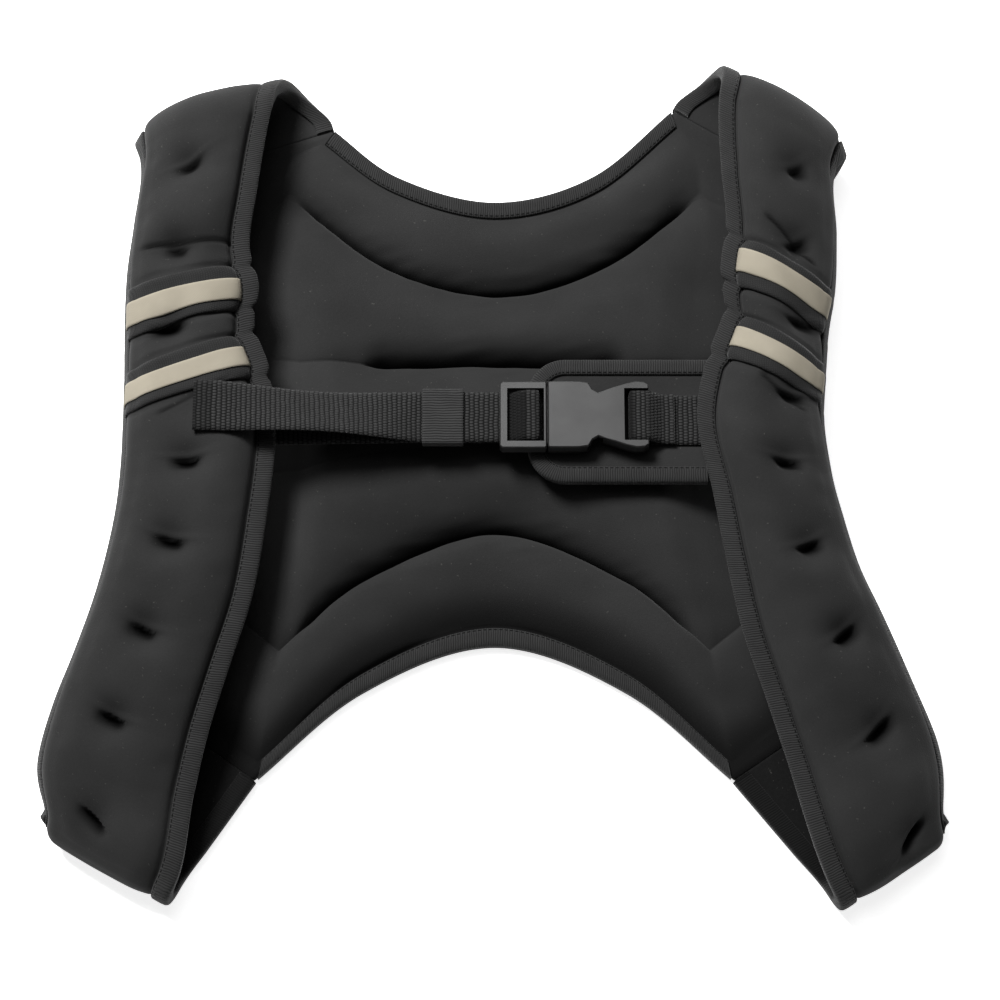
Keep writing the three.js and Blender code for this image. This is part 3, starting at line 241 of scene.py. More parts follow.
def unit(vectors):
    size = np.linalg.norm(vectors, axis=-1, keepdims=True)
    return vectors / np.maximum(size, 1e-9)


def both(a, b):
    """The two as arrays of one shape."""
    return np.broadcast_arrays(np.asarray(a, float), np.asarray(b, float))


def run_of(path):
    """The length along a path at each of its points."""
    return np.concatenate([[0], np.cumsum(np.linalg.norm(np.diff(path, axis=0), axis=1))])


def bell(far, reach, power=2):
    return np.exp(-((far / reach) ** power))


def lumps(x, y, kind, seed, count=7):
    """Smooth uneven value about zero, with bumps of the kind's size across and its height."""
    size, height = kind
    draw = np.random.default_rng(seed)
    turn = draw.uniform(0, 2 * math.pi, count)
    pitch = draw.uniform(0.6, 1.6, count) * math.pi / size
    phase = draw.uniform(0, 2 * math.pi, count)
    total = 0.0
    for a, p, start in zip(turn, pitch, phase):
        total = total + np.sin((x * math.cos(a) + y * math.sin(a)) * p + start)
    return total / math.sqrt(count) * height


# Front pads

# Steps in rows and shares across, over which the pads' directions are taken.
FLOW_STEP = 0.04
STEP_ALONG = 0.05
STEP_ACROSS = 0.01


def slopes(values, knots, level):
    step = np.diff(knots)
    rate = np.diff(values) / step
    inside = (rate[:-1] * step[1:] + rate[1:] * step[:-1]) / (step[:-1] + step[1:])
    if level:
        inside = np.where(rate[:-1] * rate[1:] <= 0, 0.0, inside)
    return np.concatenate([[rate[0]], inside, [rate[-1]]])


class Pad:
    def __init__(self, side, table, bands, tufts, creases, shoulder_flare, seed):
        self.side = side
        self.bands = bands
        self.seed = seed
        rows = []
        for ox, oy, ix, iy, rise, fill in table:
            outer = np.array([side * ox * HALF_WIDTH, oy * HALF_LENGTH, rise * PAD_RISE - OUTER_DROP])
            inner = np.array([side * ix * HALF_WIDTH, iy * HALF_LENGTH, rise * PAD_RISE])
            rows.append((outer, inner, fill))

        def fold_of(row, end_z, towards, angle, flare, fill):
            outer, inner, _ = row
            across = unit((inner - outer) * (1, 1, 0))
            away = np.array([-across[1], across[0], 0.0])
            if away[1] * towards < 0:
                away = -away

            def bend(point):
                radius = (point[2] - end_z) / 2
                moved = point + away * radius * math.sin(angle)
                moved[2] = end_z + radius + radius * math.cos(angle)
                return moved

            return bend(outer), bend(inner) + across * flare, fill

        stations = []
        for k in range(FOLD_STEPS):
            share = (FOLD_STEPS - k) / FOLD_STEPS
            fill = rows[0][2] * (1 - share) ** 2
            stations.append(fold_of(rows[0], REAR_RISE, 1, math.pi * share, shoulder_flare * share, fill))
        across = unit((rows[0][1] - rows[0][0]) * (1, 1, 0))
        back = np.array([side * across[1], -side * across[0], 0.0]) * REAR_FLAT
        if back[1] > 0:
            back = -back
        stations.insert(0, (stations[0][0] + back, stations[0][1] + back, 0.0))
        stations += rows
        last_row = rows[-1]
        wing_fill = WING_SWELL / PAD_TOP
        for k in range(1, FOLD_STEPS + 1):
            share = k / FOLD_STEPS
            fill = mix(last_row[2], wing_fill, min(1.0, share * 1.4))
            stations.append(fold_of(last_row, EDGE_Z + FOLD_LIFT, -1, math.pi * share, 0.0, fill))
        turned = stations[-1]
        hem = BACK[-1]
        hem_outer = np.array([side * hem[0] * HALF_WIDTH, hem[1] * HALF_LENGTH, EDGE_Z])
        hem_inner = np.array([side * hem[2] * HALF_WIDTH, hem[3] * HALF_LENGTH, EDGE_Z])
        for share in (0.33, 0.66, 1.0):
            stations.append((mix(turned[0], hem_outer, share), mix(turned[1], hem_inner, share), wing_fill))
        outer = np.array([s[0] for s in stations])
        inner = np.array([s[1] for s in stations])
        fills = np.array([s[2] for s in stations])
        self.knots = run_of((outer + inner) / 2)
        self.turn = FIRST_ROW + len(table) - 1 + FOLD_STEPS
        self.last = len(stations) - 1
        self.tracks = {}
        for name, rail in (("outer", outer), ("inner", inner)):
            for axis in range(3):
                self.tracks[name, axis] = (rail[:, axis], slopes(rail[:, axis], self.knots, axis == 2))
        self.tracks["fill"] = (fills, slopes(fills, self.knots, True))
        self.kinks = []
        for _, row, half, _, _ in bands:
            self.kinks += [self.length_at(FIRST_ROW + row + half * end) for end in (-1.05, 1.05)]
        self.tufts = []
        for row, share, length, slant, depth in tufts:
            place = self.mid(FIRST_ROW + row, share)
            centre = self.flat(FIRST_ROW + row, share)
            self.tufts.append((place, centre, length, math.radians(slant), depth))
        self.creases = []
        for row_a, row_b, share_a, share_b, depth in creases:
            ends = self.flat(FIRST_ROW + row_a, share_a), self.flat(FIRST_ROW + row_b, share_b)
            self.creases.append((*ends, depth))

    def value(self, key, t):
        values, slope = self.tracks[key]
        i = np.clip(np.floor(t).astype(int), 0, len(values) - 2)
        f = t - i
        length = self.knots[i + 1] - self.knots[i]
        f2, f3 = f * f, f * f * f
        return ((2 * f3 - 3 * f2 + 1) * values[i] + (f3 - 2 * f2 + f) * length * slope[i]
                + (3 * f2 - 2 * f3) * values[i + 1] + (f3 - f2) * length * slope[i + 1])

    def rail(self, name, t):
        t = np.asarray(t, float)
        x, y, z = (self.value((name, axis), t) for axis in range(3))
        if name == "outer":
            middle = self.length_at(self.turn - FOLD_STEPS / 2)
            x = x - self.side * FOLD_PULL * bell(self.length_at(t) - middle, FOLD_REACH)
        if name == "inner":
            for place in self.kinks:
                x = x + self.side * KINK_DEPTH * bell(self.length_at(t) - place, KINK_LENGTH)
        return np.stack([x, y, z], axis=-1)

    def length_at(self, t):
        return np.interp(t, np.arange(len(self.knots)), self.knots)

    def station_at(self, length):
        return np.interp(length, self.knots, np.arange(len(self.knots)))

    def width(self, t):
        return np.linalg.norm(self.rail("outer", t) - self.rail("inner", t), axis=-1)

    def flat(self, t, s):
        """Place on the pad laid flat: along it, and across from its middle line."""
        return np.stack(np.broadcast_arrays(self.length_at(t), (s - 0.5) * self.width(t)), axis=-1)

    def ruled(self, t, s):
        s = np.asarray(s, float)[..., None]
        return mix(self.rail("outer", t), self.rail("inner", t), s)

    def crown(self, t):
        start = clamp01((t - 1) / FOLD_STEPS)
        end = clamp01((self.turn - FOLD_STEPS - t) / 2 + 0.5)
        return PAD_CROWN * start * end

    def rolling(self, t):
        """How far the outer binding is rolled under: all along the pad, fading round its fold."""
        return clamp01((t - 1) / FOLD_STEPS) * clamp01((self.turn + 2 - t) / 3)

    def mid(self, t, s):
        t, s = both(t, s)
        a, b = np.maximum(0, t - FLOW_STEP), np.minimum(self.last, t + FLOW_STEP)
        flow = self.ruled(b, 0.5 + 0 * s) - self.ruled(a, 0.5 + 0 * s)
        across = self.rail("inner", t) - self.rail("outer", t)
        up = unit(np.cross(flow, across)) * (1 if self.side < 0 else -1)
        crown = self.crown(t)
        roll = self.rolling(t) * OUTER_ROLL * clamp01((ROLL_SHARE - s) / ROLL_SHARE) ** 2
        return self.ruled(t, s) + up * (crown * 4 * s * (1 - s) - roll)[..., None]

    def normal_of(self, surface, t, s):
        t, s = both(t, s)
        before, after = np.maximum(0, t - STEP_ALONG), np.minimum(self.last, t + STEP_ALONG)
        along = surface(after, s) - surface(before, s)
        across = surface(t, np.minimum(1, s + STEP_ACROSS)) - surface(t, np.maximum(0, s - STEP_ACROSS))
        return unit(np.cross(along, across)) * (1 if self.side < 0 else -1)

    def up(self, t, s):
        return self.normal_of(self.mid, t, s)

    def insets(self, t):
        """What the bindings cover at the outer and the inner edge, as shares across the pad."""
        width = self.width(t)
        return mix(BINDING_WIDTH, OUTER_INSET, self.rolling(t)) / width, BINDING_WIDTH / width

    def clear_of_binding(self, t, s):
        """How far a place lies from the nearer binding."""
        outer, inner = self.insets(t)
        return np.minimum(s - outer, 1 - s - inner) * self.width(t)

    def filling(self, t, s):
        t, s = both(t, s)
        middle = self.mid(t, s)
        edge = self.clear_of_binding(t, s)
        share = self.value("fill", t) * round_off((edge - BAND_END_GAP) / PAD_REACH)
        for place, _, _, _, _ in self.tufts:
            far = np.linalg.norm(middle - place, axis=-1)
            share = share * (1 - TUFT_DEPTH * HOLLOW_SHARE * bell(far, HOLLOW_RADIUS, 1.6))
        for _, row, half, _, _ in self.bands:
            share = share * (1 - BAND_SQUEEZE * bell(t - FIRST_ROW - row, half, 4))
        return share

    def slit(self, place, centre, length, slant):
        """How far into a tuft's slit each place is, and how far into the pull round it."""
        dx, dy = place[..., 0] - centre[0], place[..., 1] - centre[1]
        along = dx * math.cos(slant) + dy * math.sin(slant)
        aside = dy * math.cos(slant) - dx * math.sin(slant) - 0.05 * along * along / length
        half = np.where(aside > 0, SLIT_ABOVE, SLIT_BELOW)
        core = bell(along, length, 4) * bell(np.abs(aside), half, 3)
        pull = bell(along, length * PULL_LENGTH) * bell(aside, PULL_WIDTH)
        return core, pull, aside

    def crease(self, place, start, end):
        line = end - start
        size = np.linalg.norm(line)
        ahead = line / size
        dx, dy = place[..., 0] - start[0], place[..., 1] - start[1]
        along = (dx * ahead[0] + dy * ahead[1]) / size
        aside = dx * ahead[1] - dy * ahead[0]
        fade = smooth01(along / 0.15) * smooth01((1 - along) / 0.15)
        return fade * bell(aside, CREASE_WIDTH), fade * bell(aside, CREASE_PULL)

    def relief(self, t, s):
        """Small forms on the filled surface, in millimetres: lumps, puckers, creases and slits."""
        place = self.flat(t, s)
        x, y = place[..., 0], place[..., 1]
        edge = self.clear_of_binding(t, s)
        inside = smooth01(edge / 10)
        out = (lumps(x, y, PAD_BROAD, self.seed) + lumps(x, y, PAD_FINE, self.seed + 1)) * inside
        near = bell(edge - PUCKER_AT, PUCKER_REACH)
        out = out + lumps(x, y * 0.3, PAD_PUCKERS, self.seed + 2) * near * inside
        for _, centre, length, slant, depth in self.tufts:
            core, pull, aside = self.slit(place, centre, length, slant)
            lip = bell(aside - LIP_AT, LIP_WIDTH) * pull
            out = out - depth * core - PULL_DEPTH * pull + LIP_HEIGHT * lip
        for start, end, depth in self.creases:
            core, pull = self.crease(place, start, end)
            out = out - depth * core - 0.6 * depth * pull
        for _, row, half, _, _ in self.bands:
            far = (t - FIRST_ROW - row) / half
            beside = bell(np.abs(far) - BESIDE_BAND_AT, BESIDE_BAND_WIDTH)
            out = out - BESIDE_BAND_DEPTH * beside * inside
        return out * clamp01(self.value("fill", np.asarray(t, float)) * 2)

    def painted_depth_shade(self, t, s):
        """Painted shade: 1 in the slits and creases, where no light reaches, and softer round each slit."""
        place = self.flat(t, s)
        shade = np.zeros(place.shape[:-1])
        for _, centre, length, slant, depth in self.tufts:
            core, pull, _ = self.slit(place, centre, length, slant)
            shade = np.maximum(shade, core * min(1, depth / 3.5) + 0.22 * pull ** 2)
        for start, end, depth in self.creases:
            core, pull = self.crease(place, start, end)
            shade = np.maximum(shade, (0.7 * core + 0.15 * pull) * min(1, depth))
        return clamp01(shade)

    def top(self, t, s):
        t, s = both(t, s)
        rise = FLANGE / 2 + PAD_TOP * self.filling(t, s) + self.relief(t, s)
        return self.mid(t, s) + self.up(t, s) * rise[..., None]

    def under(self, t, s):
        t, s = both(t, s)
        depth = np.where(t > self.turn - 0.001, PAD_TOP, PAD_UNDER)
        fall = FLANGE / 2 + depth * self.filling(t, s)
        return self.mid(t, s) - self.up(t, s) * fall[..., None]

    def skin(self, t, s, lift):
        t, s = both(t, s)
        return self.top(t, s) + self.normal_of(self.top, t, s) * np.asarray(lift)[..., None]


pad_left = Pad(-1, PAD_LEFT, BANDS_LEFT, TUFTS_LEFT, CREASES_LEFT, FLARE_LEFT, 11)
pad_right = Pad(1, PAD_RIGHT, BANDS_RIGHT, TUFTS_RIGHT, CREASES_RIGHT, FLARE_RIGHT, 31)
PADS = {"left": pad_left, "right": pad_right}


# Back panel

def back_place(row, place, side):
    entry = BACK[row]
    if row == 0 and place in ("outer", "corner"):
        pad = pad_left if side < 0 else pad_right
        across = unit((pad.rail("inner", 0) - pad.rail("outer", 0)) * (1, 1, 0))
        away = np.array([side * across[1], -side * across[0], 0.0])
        if away[1] > 0:
            away = -away
        return (pad.rail("outer" if place == "outer" else "inner", 0) + away * GAP)[:2]
    x = {"outer": entry[0], "corner": entry[2], "between": entry[4], "middle": 0.0}[place]
    y = {"outer": entry[1], "corner": entry[3], "between": entry[5], "middle": entry[6]}[place]
    return np.array([side * x * HALF_WIDTH, y * HALF_LENGTH])


BACK_POINTS = {
    (row, place, side): back_place(row, place, side)
    for row in range(LAST_ROW + 1) for place in ("outer", "corner", "between", "middle")
    for side in (-1, 1)
}


def curve4(p, q, r, w, g):
    return q + 0.5 * g * (r - p + g * (2 * p - 5 * q + 4 * r - w + g * (3 * (q - r) + w - p)))


def back_across(row, u):
    out = np.zeros(u.shape + (2,))
    a = np.abs(u)
    for side in (-1, 1):
        here = (u < 0) if side < 0 else (u >= 0)
        corner = BACK_POINTS[row, "corner", side]
        outer = BACK_POINTS[row, "outer", side]
        between = BACK_POINTS[row, "between", side]
        middle = BACK_POINTS[row, "middle", side]
        other = BACK_POINTS[row, "between", -side]
        beyond = corner * 2 - between
        f = np.clip((0.5 - a) / 0.25, 0, 2)[..., None]
        first = curve4(beyond, corner, between, middle, f)
        second = curve4(corner, between, middle, other, f - 1)
        inside = np.where(f < 1, first, second)
        outside = mix(corner, outer, clamp01((a - 0.5) / 0.5)[..., None])
        side_value = np.where((a >= 0.5)[..., None], outside, inside)
        out = np.where(here[..., None], side_value, out)
    return out


def back_plan(u, v):
    u, v = both(u, v)
    rows = np.stack([back_across(row, u) for row in range(LAST_ROW + 1)])
    first = rows[:1] * 2 - rows[1:2]
    final = rows[-1:] * 2 - rows[-2:-1]
    rows = np.concatenate([first, rows, final])
    i = np.clip(np.floor(v).astype(int), 0, LAST_ROW - 1)
    g = (v - i)[..., None]
    pick = lambda k: np.take_along_axis(rows, (i + k)[None, ..., None], axis=0)[0]
    return curve4(pick(0), pick(1), pick(2), pick(3), g)


def back_seam(v):
    return mix(REAR_RISE, EDGE_Z, clamp01(v / 3))


HEIGHTS = np.array([row[7] for row in BACK])
SWELLS = np.array([row[8] for row in BACK]) + (0, 0, 0, 0.07, 0.14, 0)
FALLS = np.array([1.0, 1.0, 1.0, 1.8, 1.4, 1.0])


def back_height(u, v):
    i = np.clip(np.floor(v).astype(int), 0, LAST_ROW - 1)
    g = v - i
    a = np.abs(u)
    early = np.where(i == LAST_ROW - 1, 0.55, 1.0)
    bulge = np.abs(np.sin(math.pi * g ** early)) ** 0.7
    late = FALLS[i]
    height = mix(HEIGHTS[i], HEIGHTS[i + 1], g ** late) + SWELLS[i] * bulge
    for row, share in ((1, 0.47), (2, SLOT_SHARE), (4, 0.44)):
        outside = smooth01((a - share + 0.04) / 0.14)
        height = height + 0.14 * bell(v - row, 0.3) * outside
    falling = np.where(a < 0.5, 0.45 * clamp01((a - 0.4) / 0.1), 0.45 + 0.55 * clamp01((a - 0.5) / 0.5))
    return BACK_HEIGHT * height * (1 - 0.5 * smooth01(falling))


def back_puff(u, v):
    here = back_plan(u, v)
    side = np.where(u < 0, -1.0, 1.0)

    def reach(place):
        far = np.linalg.norm(here - place, axis=-1)
        return round_off((far - BINDING_WIDTH - 2 * GAP) / BACK_REACH)

    return reach(back_plan(u, 0 * v)) * reach(back_plan(u, 0 * v + LAST_ROW)) * reach(back_plan(side, v))


# Seams of the back panel: row, share across where each fades out, depth in millimetres, reach of
# the rounding before it and after it, and how wide the painted shade before it is.
BACK_SEAMS = [
    (1, 0.49, 6.5, 12.0, 5.0, 2.6),
    (2, 0.345, 10.0, 15.0, 4.0, 5.0),
    (4, 0.46, 8.0, 13.0, 8.0, 3.0),
]
HEM_SHADE_REACH = 27.0


def back_seam_parts(u, v):
    """For each seam: how much of it is there, the distance before it and after it, depth, reaches."""
    here = back_plan(u, v)
    for row, end, depth, reach, reach_after, dark in BACK_SEAMS:
        there = back_plan(u, 0 * v + row)
        far = np.linalg.norm(here - there, axis=-1)
        before = np.where(v < row, far, 0.0)
        after = np.where(v >= row, far, 0.0)
        yield smooth01((end - np.abs(u)) / 0.07), before, after, depth, reach, reach_after, dark


def back_relief(u, v):
    place = back_plan(u, v)
    x, y = place[..., 0], place[..., 1]
    out = lumps(x, y, BACK_BROAD, 71) + lumps(x, y, BACK_FINE, 72)
    for there, before, after, depth, reach, reach_after, _ in back_seam_parts(u, v):
        side = 1 - np.where(after > 0, round_off(after / reach_after), round_off(before / reach))
        out = out - depth * there * side
        out = out + lumps(x, y * 2, BACK_PUCKERS, 73) * there * bell(before + after, 9)
    return out * smooth01(back_puff(u, v) * 1.5)


# Painted shade on the back panel: dark along each seam line, shade painted on the slope before it, and darker
# towards the hem, where the lower roll turns from the light.
def back_painted_shade(u, v):
    shade = np.zeros(np.broadcast(u, v).shape)
    for there, before, after, _, reach, _, wide in back_seam_parts(u, v):
        dark = np.where(after > 0, bell(after, 0.9), bell(before, wide))
        soft = 0.35 * np.exp(-before / reach * 2) * (before > 0)
        shade = np.maximum(shade, there * clamp01(0.85 * dark + soft))
    to_hem = np.linalg.norm(back_plan(u, v) - back_plan(u, 0 * v + LAST_ROW), axis=-1)
    hem = 0.75 * smooth01(1 - (to_hem - BINDING_WIDTH) / HEM_SHADE_REACH) * (v > LAST_ROW - 1)
    return clamp01(np.maximum(shade, hem))


def with_z(plan, z):
    return np.concatenate([plan, np.asarray(z)[..., None]], axis=-1)


def back_top(u, v):
    u, v = both(u, v)
    seam = back_seam(v) + FLANGE / 2
    height = np.maximum(0, back_height(u, v) - seam)
    return with_z(back_plan(u, v), seam + back_puff(u, v) * height + back_relief(u, v))


def back_under(u, v):
    u, v = both(u, v)
    seam = back_seam(v) - FLANGE / 2
    return with_z(back_plan(u, v), seam * (1 - clamp01(2.5 * back_puff(u, v))))


def back_inset(u, row):
    """The row value one binding width inside the neckline or the hem."""
    u = np.asarray(u, float)
    edge = 0.0 if row == "first" else float(LAST_ROW)
    place = back_plan(u, edge + 0 * u)
    near = edge + 0 * u
    far = (1.0 if row == "first" else LAST_ROW - 1.0) + 0 * u
    for _ in range(30):
        v = (near + far) / 2
        inside = np.linalg.norm(back_plan(u, v) - place, axis=-1) < BINDING_WIDTH
        near = np.where(inside, v, near)
        far = np.where(inside, far, v)
    return near


def back_edge_u(v):
    v = np.asarray(v, float)
    full = np.linalg.norm(back_plan(1 + 0 * v, v) - back_plan(0.5 + 0 * v, v), axis=-1)
    return 1 - 0.5 * BINDING_WIDTH / full


def seam_point(u, v):
    return with_z(back_plan(u, v), back_seam(v))


# Materials

class Nodes:
    """A material's node tree, written in short calls."""

    def __init__(self, name, color, roughness, **values):
        self.material = bpy.data.materials.new(name)
        self.material.use_nodes = True
        self.tree = self.material.node_tree
        self.shader = self.tree.nodes["Principled BSDF"]
        self.set("Roughness", roughness)
        self.set("Base Color", (*color, 1))
        for key, value in values.items():
            self.set(key.replace("_", " "), value)

    def set(self, key, value):
        socket = self.shader.inputs[key]
        if hasattr(value, "is_output"):
            self.tree.links.new(value, socket)
        else:
            socket.default_value = value

    def node(self, kind, inputs=None, **settings):
        made = self.tree.nodes.new("ShaderNode" + kind)
        for key, value in settings.items():
            setattr(made, key, value)
        for key, value in (inputs or {}).items():
            if hasattr(value, "is_output"):
                self.tree.links.new(value, made.inputs[key])
            else:
                made.inputs[key].default_value = value
        return made

    def math(self, operation, a, b=0.0):
        return self.node("Math", {0: a, 1: b}, operation=operation).outputs[0]

    def uv(self):
        return self.node("TexCoord").outputs["UV"]

    def place(self):
        """The place in the piece's own frame, in millimetres."""
        coords = self.node("TexCoord").outputs["Object"]
        return self.node("Mapping", {"Vector": coords, "Scale": (1000.0,) * 3}).outputs[0]

    def painted_shade(self):
        """The stored painted shade of slits, seams and hidden places, 0 where a piece has none."""
        return self.node("Attribute", attribute_name="shade").outputs["Fac"]

    def noise(self, vector, scale, detail=2.0, roughness=0.5):
        inputs = {"Vector": vector, "Scale": scale, "Detail": detail, "Roughness": roughness}
        return self.node("TexNoise", inputs).outputs["Fac"]

    def ramp(self, value, low, high, out_low=0.0, out_high=1.0):
        inputs = {0: value, 1: low, 2: high, 3: out_low, 4: out_high}
        return self.node("MapRange", inputs, clamp=True).outputs[0]

    def blend(self, share, one, two, kind="MIX"):
        """Two colours mixed, each a tuple or an earlier result."""
        colors = [value if hasattr(value, "is_output") else (*value, 1) for value in (one, two)]
        inputs = {0: share, 6: colors[0], 7: colors[1]}
        return self.node("Mix", inputs, data_type="RGBA", blend_type=kind).outputs[2]

    def bump(self, height, distance, strength=1.0, before=None):
        inputs = {"Height": height, "Distance": distance * 0.001, "Strength": strength}
        if before is not None:
            inputs["Normal"] = before
        made = self.node("Bump", inputs)
        self.set("Normal", made.outputs[0])
        return made.outputs[0]


def neoprene(name, color=0.026):
    m = Nodes(name, (color, color, color * 1.01), 0.88, Sheen_Weight=0.06, Sheen_Roughness=0.6)
    place = m.place()
    broad = m.noise(place, 0.02, 3.0)
    fine = m.noise(place, 0.9, 4.0, 0.7)
    shade = m.blend(m.ramp(broad, 0.35, 0.65), (color * 0.88,) * 3, (color * 1.12,) * 3)
    lint = m.noise(place, 0.55, 2.0, 0.6)
    specks = m.ramp(lint, 0.70, 0.745)
    shade = m.blend(m.math("MULTIPLY", specks, 0.35), shade, (0.12, 0.118, 0.11))
    # Painted shade: slits, seams and hidden places darkened to a tenth of the colour, and without specular
    # highlight.
    painted_shade = m.painted_shade()
    shade = m.blend(painted_shade, shade, (color * 0.10,) * 3)
    m.set("Base Color", shade)
    m.set("Specular IOR Level", m.ramp(painted_shade, 0.0, 1.0, 0.22, 0.0))
    knit = m.node("TexVoronoi", {"Vector": place, "Scale": 1.3}).outputs["Distance"]
    first = m.bump(knit, 0.10, 0.5)
    m.bump(fine, 0.25, 0.35, first)
    m.set("Roughness", m.ramp(fine, 0.3, 0.7, 0.82, 0.95))
    return m.material


def ribbed(name, color, pitch, depth, roughness, contrast, along=0, bead=0.0, stitch=None):
    """Woven tape: ribs across it (along=0) or lengthwise (along=1), split into beads, with painted shade
    between the ribs.
    """
    m = Nodes(name, (color,) * 3, roughness, Sheen_Weight=0.1)
    m.set("Specular IOR Level", 0.25)
    uv = m.uv()
    split = m.node("SeparateXYZ", {0: uv})
    run = split.outputs[along]
    over = split.outputs[1 - along]
    wander = m.math("MULTIPLY", m.noise(uv, 0.15, 2.0), 1.2)
    run_out = m.math("ADD", run, wander)
    ribs = m.math("ABSOLUTE", m.math("SINE", m.math("MULTIPLY", run_out, math.pi / pitch)))
    height = m.math("POWER", ribs, 0.6)
    if bead:
        turn = m.math("MULTIPLY", m.math("FLOOR", m.math("DIVIDE", run_out, pitch)), 0.5)
        beads = m.math("SINE", m.math("MULTIPLY", m.math("ADD", m.math("DIVIDE", over, bead), turn), math.pi))
        height = m.math("MULTIPLY", height, m.ramp(m.math("ABSOLUTE", beads), 0.0, 0.7, 0.25, 1.0))
    wear = m.noise(uv, 0.12, 4.0)
    # Painted shade: the valleys between ribs are darker, following the bump's height; the wear noise varies
    # the tone at random.
    dark = m.math("MULTIPLY", m.ramp(height, 0.25, 0.85, *contrast), m.ramp(wear, 0.3, 0.7, 0.9, 1.1))
    shade = m.blend(1.0, (color,) * 3, dark, "MULTIPLY")
    # Painted shade: slits and hidden places darkened to 8 per cent of the colour.
    painted_shade = m.painted_shade()
    shade = m.blend(painted_shade, shade, (color * 0.08,) * 3)
    if stitch:
        line, length, half = stitch
        near = m.ramp(m.math("ABSOLUTE", m.math("SUBTRACT", over, line)), half * 0.7, half * 1.3, 1.0, 0.0)
        step = m.math("FRACT", m.math("DIVIDE", run, length))
        dash = m.ramp(m.math("ABSOLUTE", m.math("SUBTRACT", step, 0.5)), 0.24, 0.34, 1.0, 0.0)
        mark = m.math("MULTIPLY", near, dash)
        shade = m.blend(mark, shade, (color * 0.06,) * 3)
        height = m.math("SUBTRACT", height, mark)
    m.set("Base Color", shade)
    fuzz = m.noise(uv, 2.5, 3.0)
    first = m.bump(height, depth, 0.9)
    m.bump(fuzz, 0.12, 0.4, first)
    return m.material


TAPE_WEAVE = 0.8


def reflective(name):
    m = Nodes(name, (0.288, 0.265, 0.218), 0.8)
    m.set("Specular IOR Level", 0.1)
    uv = m.uv()
    broad = m.noise(uv, 0.06, 3.0)
    shade = m.blend(m.ramp(broad, 0.3, 0.7), (0.270, 0.248, 0.203), (0.307, 0.283, 0.234))
    split = m.node("SeparateXYZ", {0: uv})
    a, b = (m.math("SINE", m.math("MULTIPLY", split.outputs[k], 2 * math.pi / TAPE_WEAVE)) for k in (0, 1))
    weave = m.math("MULTIPLY", a, b)
    m.set("Base Color", shade)
    m.bump(weave, 0.04, 0.5)
    m.set("Roughness", m.ramp(broad, 0.3, 0.7, 0.72, 0.85))
    return m.material


def plastic(name):
    m = Nodes(name, (0.026, 0.026, 0.026), 0.42)
    place = m.place()
    grain = m.noise(place, 2.2, 3.0, 0.6)
    broad = m.noise(place, 0.07, 2.0)
    m.set("Base Color", m.blend(m.ramp(broad, 0.35, 0.65), (0.021,) * 3, (0.031,) * 3))
    m.set("Roughness", m.ramp(grain, 0.3, 0.7, 0.36, 0.5))
    m.bump(grain, 0.05, 0.35)
    return m.material


NEOPRENE = neoprene("neoprene_knit")
# The wings' colour is lowered to near black as painted shade, for the front pads' shadow over them.
WING_PAINTED_SHADE = neoprene("neoprene_wing_painted_shade", 0.005)
BINDING = ribbed("binding_tape", 0.031, 1.15, 0.28, 0.85, (0.35, 1.15), stitch=(1.0, 2.6, 0.30))
WEBBING = ribbed("webbing_beaded", 0.028, 2.35, 0.55, 0.75, (0.05, 1.3), bead=1.5)
BAND = ribbed("webbing_fine", 0.026, 1.0, 0.12, 0.85, (0.6, 1.1), bead=1.0)
ELASTIC = ribbed("elastic_ribbed", 0.036, 1.3, 0.35, 0.8, (0.3, 1.2), along=1)
TAPE = reflective("reflective_tape")
PLASTIC = plastic("moulded_plastic")


# Meshes

def add_piece(name, points, faces, uv, material, slot, replaces=()):
    """A smooth mesh from points in millimetres; uv has one place per point."""
    mesh = bpy.data.meshes.new(name)
    placed = (np.asarray(points) + SHIFT) * 0.001
    mesh.from_pydata(placed.tolist(), [], [tuple(face) for face in faces])
    layer = mesh.uv_layers.new(name="UVMap")
    corner = np.empty(len(mesh.loops), dtype=np.int32)
    mesh.loops.foreach_get("vertex_index", corner)
    layer.data.foreach_set("uv", np.asarray(uv, float)[corner].ravel())
    mesh.polygons.foreach_set("use_smooth", np.ones(len(mesh.polygons), dtype=bool))
    mesh.materials.append(material)
    mesh.update()
    piece = bpy.data.objects.new(name, mesh)
    bpy.context.scene.collection.objects.link(piece)
    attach(piece, "root")
    if replaces:
        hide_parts(*replaces)
    return piece


def store_painted_shade(piece, values):
    layer = piece.data.attributes.new("shade", "FLOAT", "POINT")
    layer.data.foreach_set("value", values)


def add_painted_shade(piece, upper):
    """Stores painted shade on a slab's upper grid: how deep in a slit or seam each point lies."""
    store_painted_shade(piece, np.concatenate([np.asarray(upper, float).ravel(), np.zeros(upper.size)]))


def add_painted_shade_along(piece, count, values):
    """The same for a rod: one value for each of its sections."""
    size = len(piece.data.vertices)
    store_painted_shade(piece, np.resize(np.repeat(values, size // count), size))


def outward(points, faces):
    """The faces, turned round if the closed mesh is inside out, as its four-sided ones tell."""
    quads = np.asarray([face for face in faces if len(face) == 4])
    a, b, c, d = (points[quads[:, k]] for k in range(4))
    volume = np.einsum("ij,ij->i", a, np.cross(b, c) + np.cross(c, d)).sum()
    return faces if volume > 0 else [tuple(reversed(face)) for face in faces]


def grid_faces(rows, columns, start=0):
    i, j = np.meshgrid(np.arange(rows - 1), np.arange(columns - 1), indexing="ij")
    a = (start + i * columns + j).ravel()
    return np.stack([a, a + 1, a + columns + 1, a + columns], axis=1)


